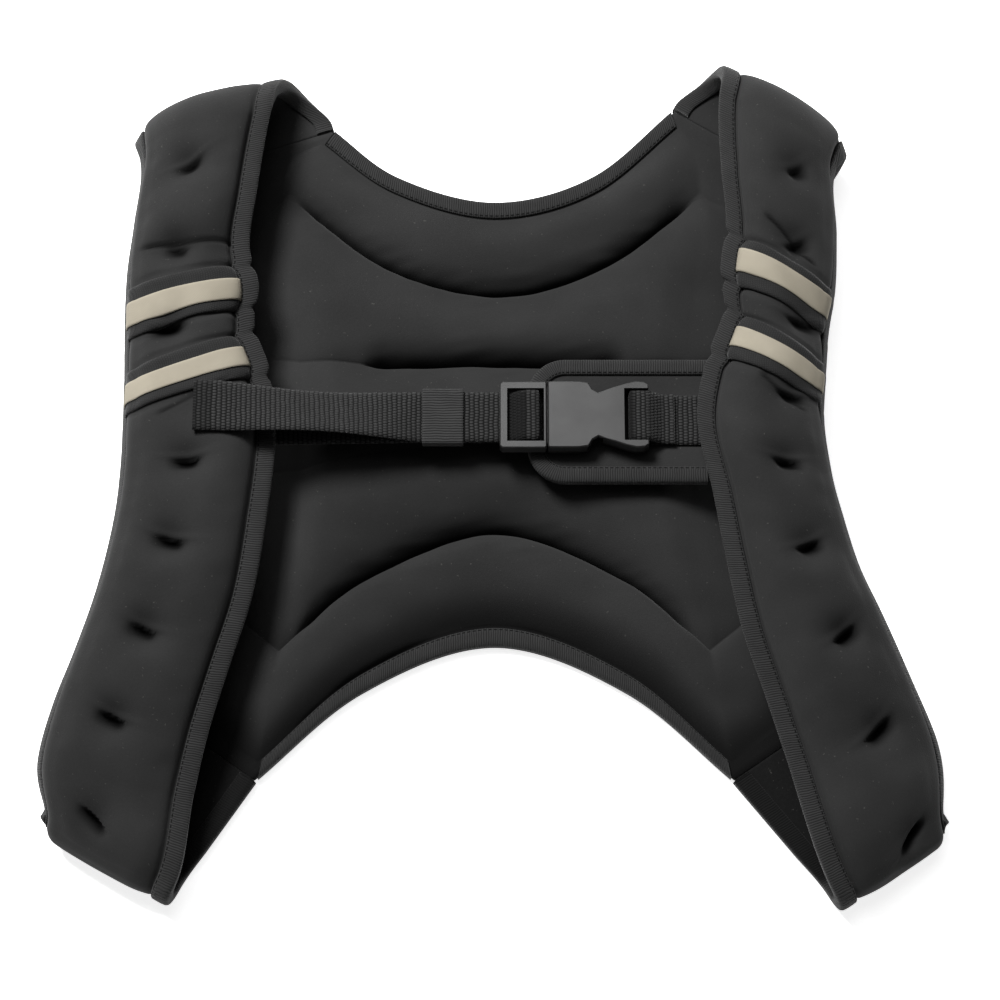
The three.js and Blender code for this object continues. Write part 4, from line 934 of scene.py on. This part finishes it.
def slab(upper, lower, flat):
    """Closed mesh between two grids of points; flat holds each place laid flat, for the weave."""
    rows, columns = upper.shape[:2]
    points = np.concatenate([upper.reshape(-1, 3), lower.reshape(-1, 3)])
    size = rows * columns
    faces = [tuple(f) for f in grid_faces(rows, columns).tolist()]
    faces += [tuple(reversed(f)) for f in grid_faces(rows, columns, size).tolist()]
    ring = [(0, j) for j in range(columns)] + [(i, columns - 1) for i in range(1, rows)]
    ring += [(rows - 1, j) for j in range(columns - 2, -1, -1)] + [(i, 0) for i in range(rows - 2, 0, -1)]
    index = [i * columns + j for i, j in ring]
    for a, b in zip(index, index[1:] + index[:1]):
        faces.append((b, a, a + size, b + size))
    uv = np.concatenate([flat.reshape(-1, 2), flat.reshape(-1, 2)])
    return points, outward(points, faces), uv


def rod(sections, flat):
    """Closed mesh from closed sections, one per place along it."""
    count, around = sections.shape[:2]
    points = sections.reshape(-1, 3)
    faces = []
    for k in range(around):
        n = (k + 1) % around
        a = np.arange(count - 1) * around
        faces += np.stack([a + k, a + n, a + around + n, a + around + k], axis=1).tolist()
    faces.append(tuple(range(around)))
    faces.append(tuple(reversed(range((count - 1) * around, count * around))))
    return points, outward(points, [tuple(face) for face in faces]), flat.reshape(-1, 2)


# Pads, wings and their bindings

PAD_STEP = 1.1
BAND_STEP = 1.0
BINDING_STEP = 1.6
WEB_STEP = 1.5
ARC_STEPS = 8
ACROSS_PAD = 45

def closer_at_ends(count, even):
    """Shares from 0 to 1, closer together at the ends, or all even when even is 1."""
    shares = np.linspace(0, 1, count)
    return mix(0.5 - 0.5 * np.cos(math.pi * shares), shares, even)


def spaced_shares(outer, inner):
    """Shares across a pad: close together by the bindings, even between them."""
    inside = mix(outer, 1 - inner, closer_at_ends(ACROSS_PAD, 0.5))
    return np.concatenate([[0, outer * 0.5], inside, [1 - inner * 0.5, 1]])


def pad_grid(pad, start, end):
    first, last = pad.length_at(start), pad.length_at(end)
    t = pad.station_at(np.linspace(first, last, int((last - first) / PAD_STEP) + 1))
    s = np.stack([spaced_shares(a, b) for a, b in zip(*pad.insets(t))])
    return t[:, None] + 0 * s, s


# Upper half of a tape's section: share of its width, share of its half thickness.
BINDING_PROFILE = [
    (0.0, 0.90), (0.06, 1.0), (0.3, 1.04), (0.62, 1.04), (0.86, 0.98), (0.97, 0.78), (1.0, 0.4),
]


def binding_sections(edge, inner, up_edge, up_inner):
    """U-shaped sections of a tape folded round an edge."""
    out = unit(edge - inner)
    width = np.linalg.norm(edge - inner, axis=-1, keepdims=True) - 2 * GAP
    full = width + GAP + BINDING_THICK
    inside = FLANGE / 2 + GAP
    around = [(full * x, x, z * BINDING_HALF) for x, z in mirrored(BINDING_PROFILE)]
    around += [((width - 2 * GAP) * x, x, z) for x, z in mouth(1.0, inside)]
    return np.stack([
        inner + out * (2 * GAP + far) + mix(up_inner, up_edge, share) * lift for far, share, lift in around
    ], axis=1)


def mirrored(profile):
    """A tape's upper half with its lower half after it."""
    return profile + [(x, -z) for x, z in reversed(profile)]


def mouth(far, half):
    """The inner side of a folded tape."""
    return [(0.0, -half), (far, -half), (far, half), (0.0, half)]


def binding_flat(sections, along):
    steps = np.linalg.norm(np.diff(sections, axis=1, append=sections[:, :1]), axis=-1).mean(axis=0)
    across = np.concatenate([[0], np.cumsum(steps)[:-1]])
    return np.stack(np.broadcast_arrays(along[:, None], across[None, :]), axis=-1)


def add_binding(name, edge, inner, up_edge, up_inner, node):
    sections = binding_sections(edge, inner, up_edge, up_inner)
    points, faces, uv = rod(sections, binding_flat(sections, run_of(edge)))
    return add_piece(name, points, faces, uv, BINDING, "binding", [node])


def add_pad(word):
    pad = PADS[word]
    t, s = pad_grid(pad, 0, pad.turn)
    points, faces, uv = slab(pad.top(t, s), pad.under(t, s), pad.flat(t, s))
    body = add_piece(f"pad_{word}", points, faces, uv, NEOPRENE, "neoprene", [f"front_pad_{word}"])
    add_painted_shade(body, pad.painted_depth_shade(t, s))
    start = pad.turn + GAP / (pad.knots[pad.turn + 1] - pad.knots[pad.turn])
    end = pad.last - GAP / (pad.knots[pad.last] - pad.knots[pad.last - 1])
    t, s = pad_grid(pad, start, end)
    points, faces, uv = slab(pad.top(t, s), pad.under(t, s), pad.flat(t, s))
    wing = add_piece(f"wing_{word}", points, faces, uv, WING_PAINTED_SHADE, "neoprene", [f"side_wing_{word}"])

    end = pad.last - 3 * GAP / (pad.knots[pad.last] - pad.knots[pad.last - 1])
    t = evenly_between(pad, 0.1, end, BINDING_STEP)
    for rail, share in (("outer", 0.0), ("inner", 1.0)):
        inset = np.abs(share - pad.insets(t)[int(share)])
        edge, inner = pad.mid(t, share + 0 * t), pad.mid(t, inset)
        up, inner_up = pad.up(t, share + 0 * t), pad.up(t, inset)
        tape = add_binding(f"{rail}_tape_{word}", edge, inner, up, inner_up, f"{rail}_binding_{word}")
        # Painted shade: the tape past the bottom fold, along the wing under the pad, is darkened.
        past = pad.length_at(t) - pad.length_at(pad.turn)
        add_painted_shade_along(tape, len(t), 0.92 * smooth01(past / 6))

    for name, row, half, tape_row, tape_half in pad.bands:
        place = f"{word}_{name}"
        add_band(pad, "band_" + place, (row, half), (GAP, BAND_THICK),
                 (BAND, "webbing", ["stripe_band_" + place]))
        add_band(pad, "tape_" + place, (tape_row, tape_half), (2 * GAP + BAND_THICK, TAPE_THICK),
                 (TAPE, "reflective_tape", ["reflective_tape_" + place]))


def evenly_between(pad, start, end, step):
    """Stations of a pad at even lengths."""
    total = pad.length_at(end) - pad.length_at(start)
    shares = np.linspace(0, 1, max(2, int(round(total / step)) + 1))
    return pad.station_at(pad.length_at(start) + total * shares)


def add_band(pad, name, rows, layer, looks):
    """A band across a pad: its middle and half length in rows, then its lift and thickness."""
    row, half = rows
    lift, thick = layer
    t = evenly_between(pad, FIRST_ROW + row - half, FIRST_ROW + row + half, BAND_STEP)
    outer, inner = pad.insets(t)
    clear = BAND_END_GAP / pad.width(t)
    s = mix((outer + clear)[:, None], (1 - inner - clear)[:, None], np.linspace(0, 1, 60)[None, :])
    t = t[:, None] + 0 * s
    edge = np.minimum(np.arange(len(t)), np.arange(len(t))[::-1])[:, None] + 0 * s
    rim = np.where(edge < 1, 0.35, np.where(edge < 2, 0.12, 0.0)) * thick
    upper = pad.skin(t, s, lift + thick - rim)
    lower = pad.skin(t, s, lift + 0 * rim)
    points, faces, uv = slab(upper, lower, pad.flat(t, s)[..., ::-1])
    add_piece(name, points, faces, uv, *looks)


add_pad("left")
add_pad("right")


# Back panel with its bindings

def add_back():
    v_last = float(LAST_ROW)
    wing = np.linspace(0.5, 1, 34)[1:]
    u = np.concatenate([-wing[::-1], np.linspace(-0.5, 0.5, 110), wing])
    first, last = back_inset(u, "first"), back_inset(u, "last")
    stops = [first, *(row + 0 * u for row in range(1, LAST_ROW)), last]
    close = closer_at_ends(42, 0.35)[:-1, None]
    inner = [mix(a, b, close) for a, b in zip(stops[:-1], stops[1:])]
    v = np.vstack([0 * u, first * 0.5, *inner, last, (last + v_last) / 2, v_last + 0 * u])
    grid_u = u[None, :] + 0 * v
    upper, lower = back_top(grid_u, v), back_under(grid_u, v)
    points, faces, uv = slab(upper, lower, upper[..., :2])
    body = add_piece("back_pad", points, faces, uv, NEOPRENE, "neoprene", ["back_panel"])
    add_painted_shade(body, back_painted_shade(grid_u, v))

    def station_ups(edge, inner):
        along = inner - edge
        level = unit(np.stack([along[..., 1], -along[..., 0], 0 * along[..., 0]], axis=-1))
        up = unit(np.cross(level, along))
        return np.where(up[..., 2:] < 0, -up, up)

    across = np.linspace(-0.49, 0.49, 190)
    for name, row, edge_row in (("neck_tape", "first", 0.0), ("hem_tape", "last", v_last)):
        edge = seam_point(across, edge_row + 0 * across)
        inner = seam_point(across, back_inset(across, row))
        up = station_ups(edge, inner)
        add_binding(name, edge, inner, up, up, name.replace("tape", "binding"))
    for side, word in ((-1, "left"), (1, "right")):
        v = np.linspace(0.03, LAST_ROW - 0.03, 170)
        edge = seam_point(side + 0 * v, v)
        inner = seam_point(side * back_edge_u(v), v)
        up = station_ups(edge, inner)
        add_binding(f"armhole_tape_{word}", edge, inner, up, up, f"armhole_binding_{word}")


add_back()


# Chest closure

def row_at_y(pad, y):
    """The row of a pad at which its inner edge passes y."""
    low = FIRST_ROW + 0 * np.asarray(y, float)
    high = pad.turn - FOLD_STEPS + 0 * low
    for _ in range(40):
        t = (low + high) / 2
        above = pad.rail("inner", t)[..., 1] > y
        low, high = np.where(above, t, low), np.where(above, high, t)
    return low


def inner_edge_x(pad, y):
    return pad.rail("inner", row_at_y(pad, y))[..., 0]


def node_points(name):
    mesh = NODES[name].data
    points = np.empty(len(mesh.vertices) * 3)
    mesh.vertices.foreach_get("co", points)
    return points.reshape(-1, 3) * 1000 - SHIFT


def lowest_binding(word, low, high):
    p = node_points(f"inner_binding_{word}")
    near = (p[:, 1] > low - ROW_STEP) & (p[:, 1] < high + ROW_STEP) & (p[:, 2] > PAD_RISE / 2)
    return p[near, 2].min()


web_low, web_high = CHEST_Y - WEB_WIDTH / 2, CHEST_Y + WEB_WIDTH / 2
web_top = lowest_binding("right", web_low, web_high) - GAP
flap_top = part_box("buckle_flap")[1][2] * 1000 - SHIFT[2]
female_under = flap_top + GAP
buckle_z = female_under + FEMALE_HEIGHT / 2
left_under = lowest_binding("left", web_low, web_high)
flap_mid = flap_top - FLAP_THICK / 2
bar_left = BUCKLE_LEFT + LOCK_LENGTH - LOCK_SLOT - BAR_WIDTH
bar_right = bar_left + BAR_WIDTH
bar_top = buckle_z + FEMALE_HEIGHT / 2 - BAR_DROP
bar_under = bar_top - BAR_HEIGHT
base_z = bar_under - GAP - WEB_THICK / 2
tail_z = base_z + WEB_THICK + GAP + 0.1
over_z = bar_top + GAP + WEB_THICK / 2
wrap = GAP + WEB_THICK / 2
keeper_start = KEEPER_AT - KEEPER_LENGTH / 2
keeper_end = KEEPER_AT + KEEPER_LENGTH / 2


def rounded(corners):
    """A path of x, z corners with their named radii."""
    out = []
    for k, corner in enumerate(corners):
        here = np.array(corner[:2], float)
        radius = corner[2] if len(corner) > 2 else 0
        if k in (0, len(corners) - 1) or radius == 0:
            out.append(here)
            continue
        back = unit(np.array(corners[k - 1][:2]) - here)
        ahead = unit(np.array(corners[k + 1][:2]) - here)
        half = math.acos(min(1, max(-1, float(back @ ahead)))) / 2
        cut = radius / math.tan(half)
        start, end = here + back * cut, here + ahead * cut
        centre = here + unit(back + ahead) * radius / math.sin(half)
        spoke = start - centre
        total = math.pi - 2 * half
        sign = 1 if spoke[0] * (end - centre)[1] - spoke[1] * (end - centre)[0] > 0 else -1
        for i in range(ARC_STEPS + 1):
            turn = sign * total * i / ARC_STEPS
            c, n = math.cos(turn), math.sin(turn)
            out.append(centre + np.array([spoke[0] * c - spoke[1] * n, spoke[0] * n + spoke[1] * c]))
    return np.array(out)


def resample(path):
    """The path's points with others added so that none lie further apart than WEB_STEP."""
    out = [path[0]]
    for a, b in zip(path[:-1], path[1:]):
        parts = max(1, int(math.ceil(np.linalg.norm(b - a) / WEB_STEP)))
        out += [a + (b - a) * k / parts for k in range(1, parts + 1)]
    return np.array(out)


def web_sections(path, shift, roll):
    """Sections of flat webbing along an x, z path."""
    ahead = unit(np.diff(path, axis=0))
    one = np.concatenate([ahead[:1], ahead])
    two = np.concatenate([ahead, ahead[-1:]])
    along = unit(one + two)
    stretch = 1 / np.maximum(0.5, np.sqrt((1 + (one * two).sum(axis=1)) / 2))
    zero = np.zeros(len(path))
    tangent = np.stack([along[:, 0], zero, along[:, 1]], axis=1)
    normal = np.stack([-along[:, 1], zero, along[:, 0]], axis=1)
    side = np.stack([zero, zero + 1, zero], axis=1)
    centre = np.stack([path[:, 0], CHEST_Y + shift, path[:, 1]], axis=1)
    c, n = np.cos(np.radians(roll))[:, None], np.sin(np.radians(roll))[:, None]
    turned_side = side * c + np.cross(tangent, side) * n
    turned_normal = normal * c + np.cross(tangent, normal) * n
    spread = np.linspace(-1, 1, 13)
    edge = 0.5 - 0.32 * np.abs(spread) ** 14
    profile = [*zip(spread, edge), *zip(spread[::-1], -edge[::-1])]
    return np.stack([
        centre + turned_side * (WEB_WIDTH / 2 * w) + turned_normal * (stretch * WEB_THICK * h)[:, None]
        for w, h in profile
    ], axis=1)


def add_webbing(name, path, shift, roll, node):
    sections = web_sections(path, shift, roll)
    spread = np.linspace(-WEB_WIDTH / 2, WEB_WIDTH / 2, sections.shape[1] // 2)
    across = np.concatenate([spread, spread[::-1]])
    flat = np.stack(np.broadcast_arrays(run_of(path)[:, None], across[None, :]), axis=-1)
    points, faces, uv = rod(sections, flat)
    return add_piece(name, points, faces, uv, WEBBING, "webbing", [node])


HEM_FOLD = 9.0


def tail_shift(x):
    return TAIL_SWING * clamp01((keeper_start - x) / (TAIL_LENGTH - KEEPER_LENGTH / 2))


def height_finder(names):
    trees = []
    for name in names:
        mesh = bpy.data.objects[name].data
        trees.append(BVHTree.FromPolygons([v.co for v in mesh.vertices],
                                          [tuple(p.vertices) for p in mesh.polygons]))

    def height(x, y):
        start = Vector(((x + SHIFT[0]) * 0.001, (y + SHIFT[1]) * 0.001, 0.2))
        best = 0.0
        for tree in trees:
            hit = tree.ray_cast(start, Vector((0, 0, -1)))[0]
            if hit is not None:
                best = max(best, hit.z * 1000 - SHIFT[2])
        return best

    return height


def add_straps():
    height = height_finder(["pad_left", "inner_tape_left", "band_left_lower", "tape_left_lower"])
    end_x = KEEPER_AT - TAIL_LENGTH
    rest = [np.array([keeper_start, tail_z])]
    for k in range(1, 81):
        x = mix(keeper_start, end_x, k / 80)
        y = CHEST_Y + float(tail_shift(x))
        z = max(height(x, y + f * WEB_WIDTH) for f in np.arange(-0.5, 0.51, 0.1))
        z += 2 * GAP + WEB_THICK / 2
        while len(rest) > 1:
            a, b = rest[-2], rest[-1]
            if (b[0] - a[0]) * (z - a[1]) - (b[1] - a[1]) * (x - a[0]) > 0:
                break
            rest.pop()
        rest.append(np.array([x, z]))
    tail = np.array(rest[1:][::-1])
    free_from, free_to = tail[-1], np.array([keeper_start - 1, tail_z])
    lock = rounded([
        (keeper_start - 1, tail_z),
        (keeper_start, tail_z),
        (keeper_end, tail_z),
        (BUCKLE_LEFT + LOCK_BAR + 1.2, tail_z, 1.4),
        (bar_left - wrap, over_z, 1.4),
        (bar_right + wrap, over_z, wrap),
        (bar_right + wrap, base_z, wrap),
        (BUCKLE_LEFT, base_z),
        (keeper_end, base_z),
        (keeper_start, base_z),
        (keeper_start - 8, base_z),
        (float(inner_edge_x(pad_left, CHEST_Y)) - WEB_TUCK, left_under - 3 * GAP - WEB_THICK / 2),
    ])
    path = resample(np.concatenate([tail, lock]))
    x = path[:, 0]
    on_tail = np.arange(len(path)) < int(np.argmax(x))
    shift = np.where(on_tail, tail_shift(x), 0.0)
    span = clamp01((x - free_from[0]) / (free_to[0] - free_from[0]))
    roll = np.where(on_tail, -TAIL_TWIST * np.sin(math.pi * span), 0.0)
    strap = add_webbing("strap_adjusting", path, shift, roll, "adjusting_strap")
    # Painted shade on the webbing: in the buckle's window beside the bar, and on the lower layer running back
    # under the buckle; the tail's last HEM_FOLD millimetres are darker too.
    window = smooth01((x - BUCKLE_LEFT - 1) / 1.5)
    beside = np.maximum(smooth01((bar_left + 0.2 - x) / 1.2), smooth01((x - bar_right - 0.4) / 1.0))
    behind = 0.75 * (~on_tail) * smooth01((x - keeper_end - 4) / 6)
    folded = 0.45 * on_tail * smooth01((end_x + HEM_FOLD - x) / 0.8)
    add_painted_shade_along(strap, len(path), np.maximum.reduce([0.93 * window * beside, behind, folded]))

    female_start = BUCKLE_LEFT + LOCK_LENGTH
    female_end = female_start + FEMALE_LENGTH
    bar_r = female_end - 2.2
    bar_l = bar_r - END_BAR
    bar_high = buckle_z + 2.6
    bar_low = female_under + WEB_THICK + 2 * GAP + 0.7
    right_z = web_top - WEB_THICK / 2
    path = resample(rounded([
        (float(inner_edge_x(pad_right, CHEST_Y)) + WEB_TUCK, right_z),
        (female_end + 4, right_z, 3),
        (bar_r, bar_low - wrap, 3),
        (bar_l - wrap, bar_low - wrap, wrap),
        (bar_l - wrap, bar_high + wrap, wrap),
        (bar_r + 1.5, bar_high + wrap, 2),
        (female_end + 6.5, right_z + WEB_THICK + GAP + 0.2, 2),
        (female_end + 13, right_z + WEB_THICK + GAP),
    ]))
    zero = np.zeros(len(path))
    strap = add_webbing("strap_buckle", path, zero, zero, "buckle_strap")
    # Painted shade: the loop left of the end bar, down in the buckle's slot, is darkened.
    add_painted_shade_along(strap, len(path), 0.95 * smooth01((bar_l + 1.0 - path[:, 0]) / 1.0))


add_straps()


def add_keeper():
    half = WEB_WIDTH / 2 + GAP
    low = base_z - WEB_THICK / 2 - GAP
    high = tail_z + WEB_THICK / 2 + GAP

    def ring(extra, corner):
        """Places round the two layers of webbing, extra outside them."""
        wide, bottom, top = half + extra - corner, low - extra + corner, high + extra - corner
        centres = np.array([(wide, top), (-wide, top), (-wide, bottom), (wide, bottom)])
        out = []
        for k in range(4):
            turns = np.radians(90 * k + np.linspace(0, 90, 6))
            arc = centres[k] + corner * np.stack([np.cos(turns), np.sin(turns)], axis=1)
            after = centres[(k + 1) % 4] + arc[-1] - centres[k]
            share = np.linspace(0, 1, 17 if k % 2 == 0 else 6)[1:-1, None]
            out += [arc, mix(arc[-1], after, share)]
        return np.concatenate(out)

    xs = np.linspace(keeper_start + 1, keeper_end - 1, 30)
    rings = [ring(KEEPER_THICK, 1.4)] * len(xs) + [ring(0.0, 0.3)] * len(xs)
    rings[0] = rings[len(xs) - 1] = ring(KEEPER_THICK - 0.35, 1.05)
    rings = np.array(rings)
    along = np.concatenate([xs, xs[::-1]])[:, None] + 0 * rings[..., 0]
    points = np.stack([along, CHEST_Y + rings[..., 0], rings[..., 1]], axis=-1)
    count, around = along.shape
    turned = run_of(rings[1])[None, :] + 0 * along
    i, j = np.meshgrid(np.arange(count), np.arange(around), indexing="ij")
    here, beside = i * around + j, i * around + (j + 1) % around
    size = count * around
    faces = np.stack([here, beside, (beside + around) % size, (here + around) % size], axis=-1)
    points = points.reshape(-1, 3)
    faces = outward(points, [tuple(face) for face in faces.reshape(-1, 4).tolist()])
    uv = np.stack([along, turned], axis=-1).reshape(-1, 2)
    add_piece("keeper_loop", points, faces, uv, ELASTIC, "elastic", ["strap_keeper"])


add_keeper()


# Flap behind the buckle

def flap_right(y):
    return inner_edge_x(pad_right, y) + FLAP_TUCK


def flap_outline(inset):
    low = CHEST_Y - FLAP_HEIGHT / 2 + inset
    high = CHEST_Y + FLAP_HEIGHT / 2 - inset
    left = FLAP_LEFT + inset
    corner = FLAP_CORNER - inset

    def arc(y, start, first):
        turns = [math.radians(start + 90 * k / 12) for k in range(first, 13)]
        return [(left + corner + corner * math.cos(a), y + corner * math.sin(a)) for a in turns]

    right_high, right_low = (float(flap_right(y)) - 1 for y in (high, low))
    return np.array([
        (right_high, high), (left + corner, high),
        *arc(high - corner, 90, 1), *arc(low + corner, 180, 0),
        (right_low, low),
    ])


def add_flap():
    ys = CHEST_Y - FLAP_HEIGHT / 2 * np.cos(np.linspace(0, math.pi, 40))
    upper, lower = [], []
    for y in ys:
        inside = FLAP_HEIGHT / 2 - abs(y - CHEST_Y)
        depth = max(0.0, FLAP_CORNER - inside)
        left = FLAP_LEFT + FLAP_CORNER - math.sqrt(max(0.0, FLAP_CORNER ** 2 - depth ** 2))
        right = float(flap_right(y))
        xs = np.linspace(left, right, 40)
        rim = np.minimum(np.minimum(inside, xs - left), 3.0) / 3.0
        swell = 1.15 * round_off(rim) + 0.35
        upper.append(np.stack([xs, y + 0 * xs, flap_mid + swell], axis=1))
        lower.append(np.stack([xs, y + 0 * xs, flap_mid - swell], axis=1))
    upper, lower = np.array(upper), np.array(lower)
    points, faces, uv = slab(upper, lower, upper[..., :2])
    flap = add_piece("flap", points, faces, uv, NEOPRENE, "neoprene", ["buckle_flap"])

    outer = resample(flap_outline(0.5))
    tangent = np.gradient(outer, axis=0)
    inward = unit(np.stack([-tangent[:, 1], tangent[:, 0]], axis=1))
    inner = outer + inward * (BINDING_WIDTH - 2.0)
    clear = inner_edge_x(pad_right, outer[:, 1]) - BINDING_THICK - 2 * GAP
    for line in (outer, inner):
        line[:, 0] = np.minimum(line[:, 0], clear)
    keep = np.concatenate([[True], np.linalg.norm(np.diff(outer, axis=0), axis=1) > 0.1])
    add_flap_binding(*(with_z(line[keep], np.full(keep.sum(), flap_mid)) for line in (outer, inner)))


FLAP_PROFILE = [(0.0, 0.85), (0.06, 1.0), (0.3, 1.03), (0.62, 1.03), (0.86, 0.95), (0.97, 0.7), (1.0, 0.35)]


def add_flap_binding(edge, inner):
    out = unit(edge - inner)
    up = np.array([0.0, 0.0, 1.0])
    width = np.linalg.norm(edge - inner, axis=1, keepdims=True)
    full = width + GAP + BINDING_THICK + 0.5
    half = FLAP_THICK / 2 + GAP + BINDING_THICK
    sections = [inner + out * full * share + up * lift * half for share, lift in mirrored(FLAP_PROFILE)]
    for share, lift in mouth(0.95, FLAP_THICK / 2 + GAP * 0.5):
        sections.append(inner + out * width * share + up * lift)
    sections = np.stack(sections, axis=1)
    points, faces, uv = rod(sections, binding_flat(sections, run_of(edge)))
    add_piece("flap_tape", points, faces, uv, BINDING, "binding", ["flap_binding"])


add_flap()

for name in ("buckle_male", "buckle_female"):
    mesh = NODES[name].data
    mesh.materials.clear()
    mesh.materials.append(PLASTIC)


# Floor, light and camera

CAMERA_HEIGHT_ANGLE = math.radians(74)
CAMERA_DISTANCE = 1200.0
LOOK_AT = np.array([2.65, 0.0, 34.0])
LOOK_DOWN = 3.4
LENS = 89.5
# Lights: name, place, size across, power. Places and sizes are in metres.
LIGHTS = [("key", (-0.66, 0.86, 1.62), 0.65, 66), ("top", (-0.1, 0.6, 1.9), 1.0, 8)]
LIGHT_AIM = (0, 0, 0.02)
FLOOR_HALF = 14.0
FLOOR_DROP = 0.0005
WORLD_LIGHT = 0.10
GAMMA = 0.84


def add_to_scene(name, data):
    made = bpy.data.objects.new(name, data)
    bpy.context.scene.collection.objects.link(made)
    return made


def add_camera():
    up = np.array([0, math.sin(CAMERA_HEIGHT_ANGLE), math.cos(CAMERA_HEIGHT_ANGLE)])
    back = np.array([0, -math.cos(CAMERA_HEIGHT_ANGLE), math.sin(CAMERA_HEIGHT_ANGLE)])
    data = bpy.data.cameras.new("camera")
    data.lens = LENS
    data.sensor_width = 36
    data.clip_end = 20
    camera = add_to_scene("camera", data)
    camera.location = (LOOK_AT - up * LOOK_DOWN + SHIFT + back * CAMERA_DISTANCE) * 0.001
    camera.rotation_euler = (math.pi / 2 - CAMERA_HEIGHT_ANGLE, 0, 0)
    bpy.context.scene.camera = camera


def add_light(name, place, size, power):
    data = bpy.data.lights.new(name, "AREA")
    data.shape = "DISK"
    data.size = size
    data.energy = power
    light = add_to_scene(name, data)
    light.location = place
    light.rotation_euler = (Vector(LIGHT_AIM) - Vector(place)).to_track_quat("-Z", "Y").to_euler()


def add_floor():
    mesh = bpy.data.meshes.new("floor")
    corners = [(x * FLOOR_HALF, y * FLOOR_HALF, 0) for x, y in ((-1, -1), (1, -1), (1, 1), (-1, 1))]
    mesh.from_pydata(corners, [], [(0, 1, 2, 3)])
    m = Nodes("floor_paper", (0.95, 0.95, 0.95), 0.9)
    m.set("Emission Color", (1, 1, 1, 1))
    m.set("Emission Strength", 0.8)
    grain = m.noise(m.place(), 0.3, 2.0)
    m.set("Base Color", m.blend(grain, (0.93, 0.93, 0.93), (0.97, 0.97, 0.97)))
    mesh.materials.append(m.material)
    floor = add_to_scene("floor", mesh)
    floor.location = (0, 0, -FLOOR_DROP)


add_camera()
add_floor()
for light in LIGHTS:
    add_light(*light)
world = bpy.data.worlds.new("studio")
world.use_nodes = True
background = world.node_tree.nodes["Background"]
background.inputs[0].default_value = (1, 1, 1, 1)
background.inputs[1].default_value = WORLD_LIGHT
bpy.context.scene.world = world
bpy.context.scene.view_settings.view_transform = "Standard"
bpy.context.scene.view_settings.gamma = GAMMA
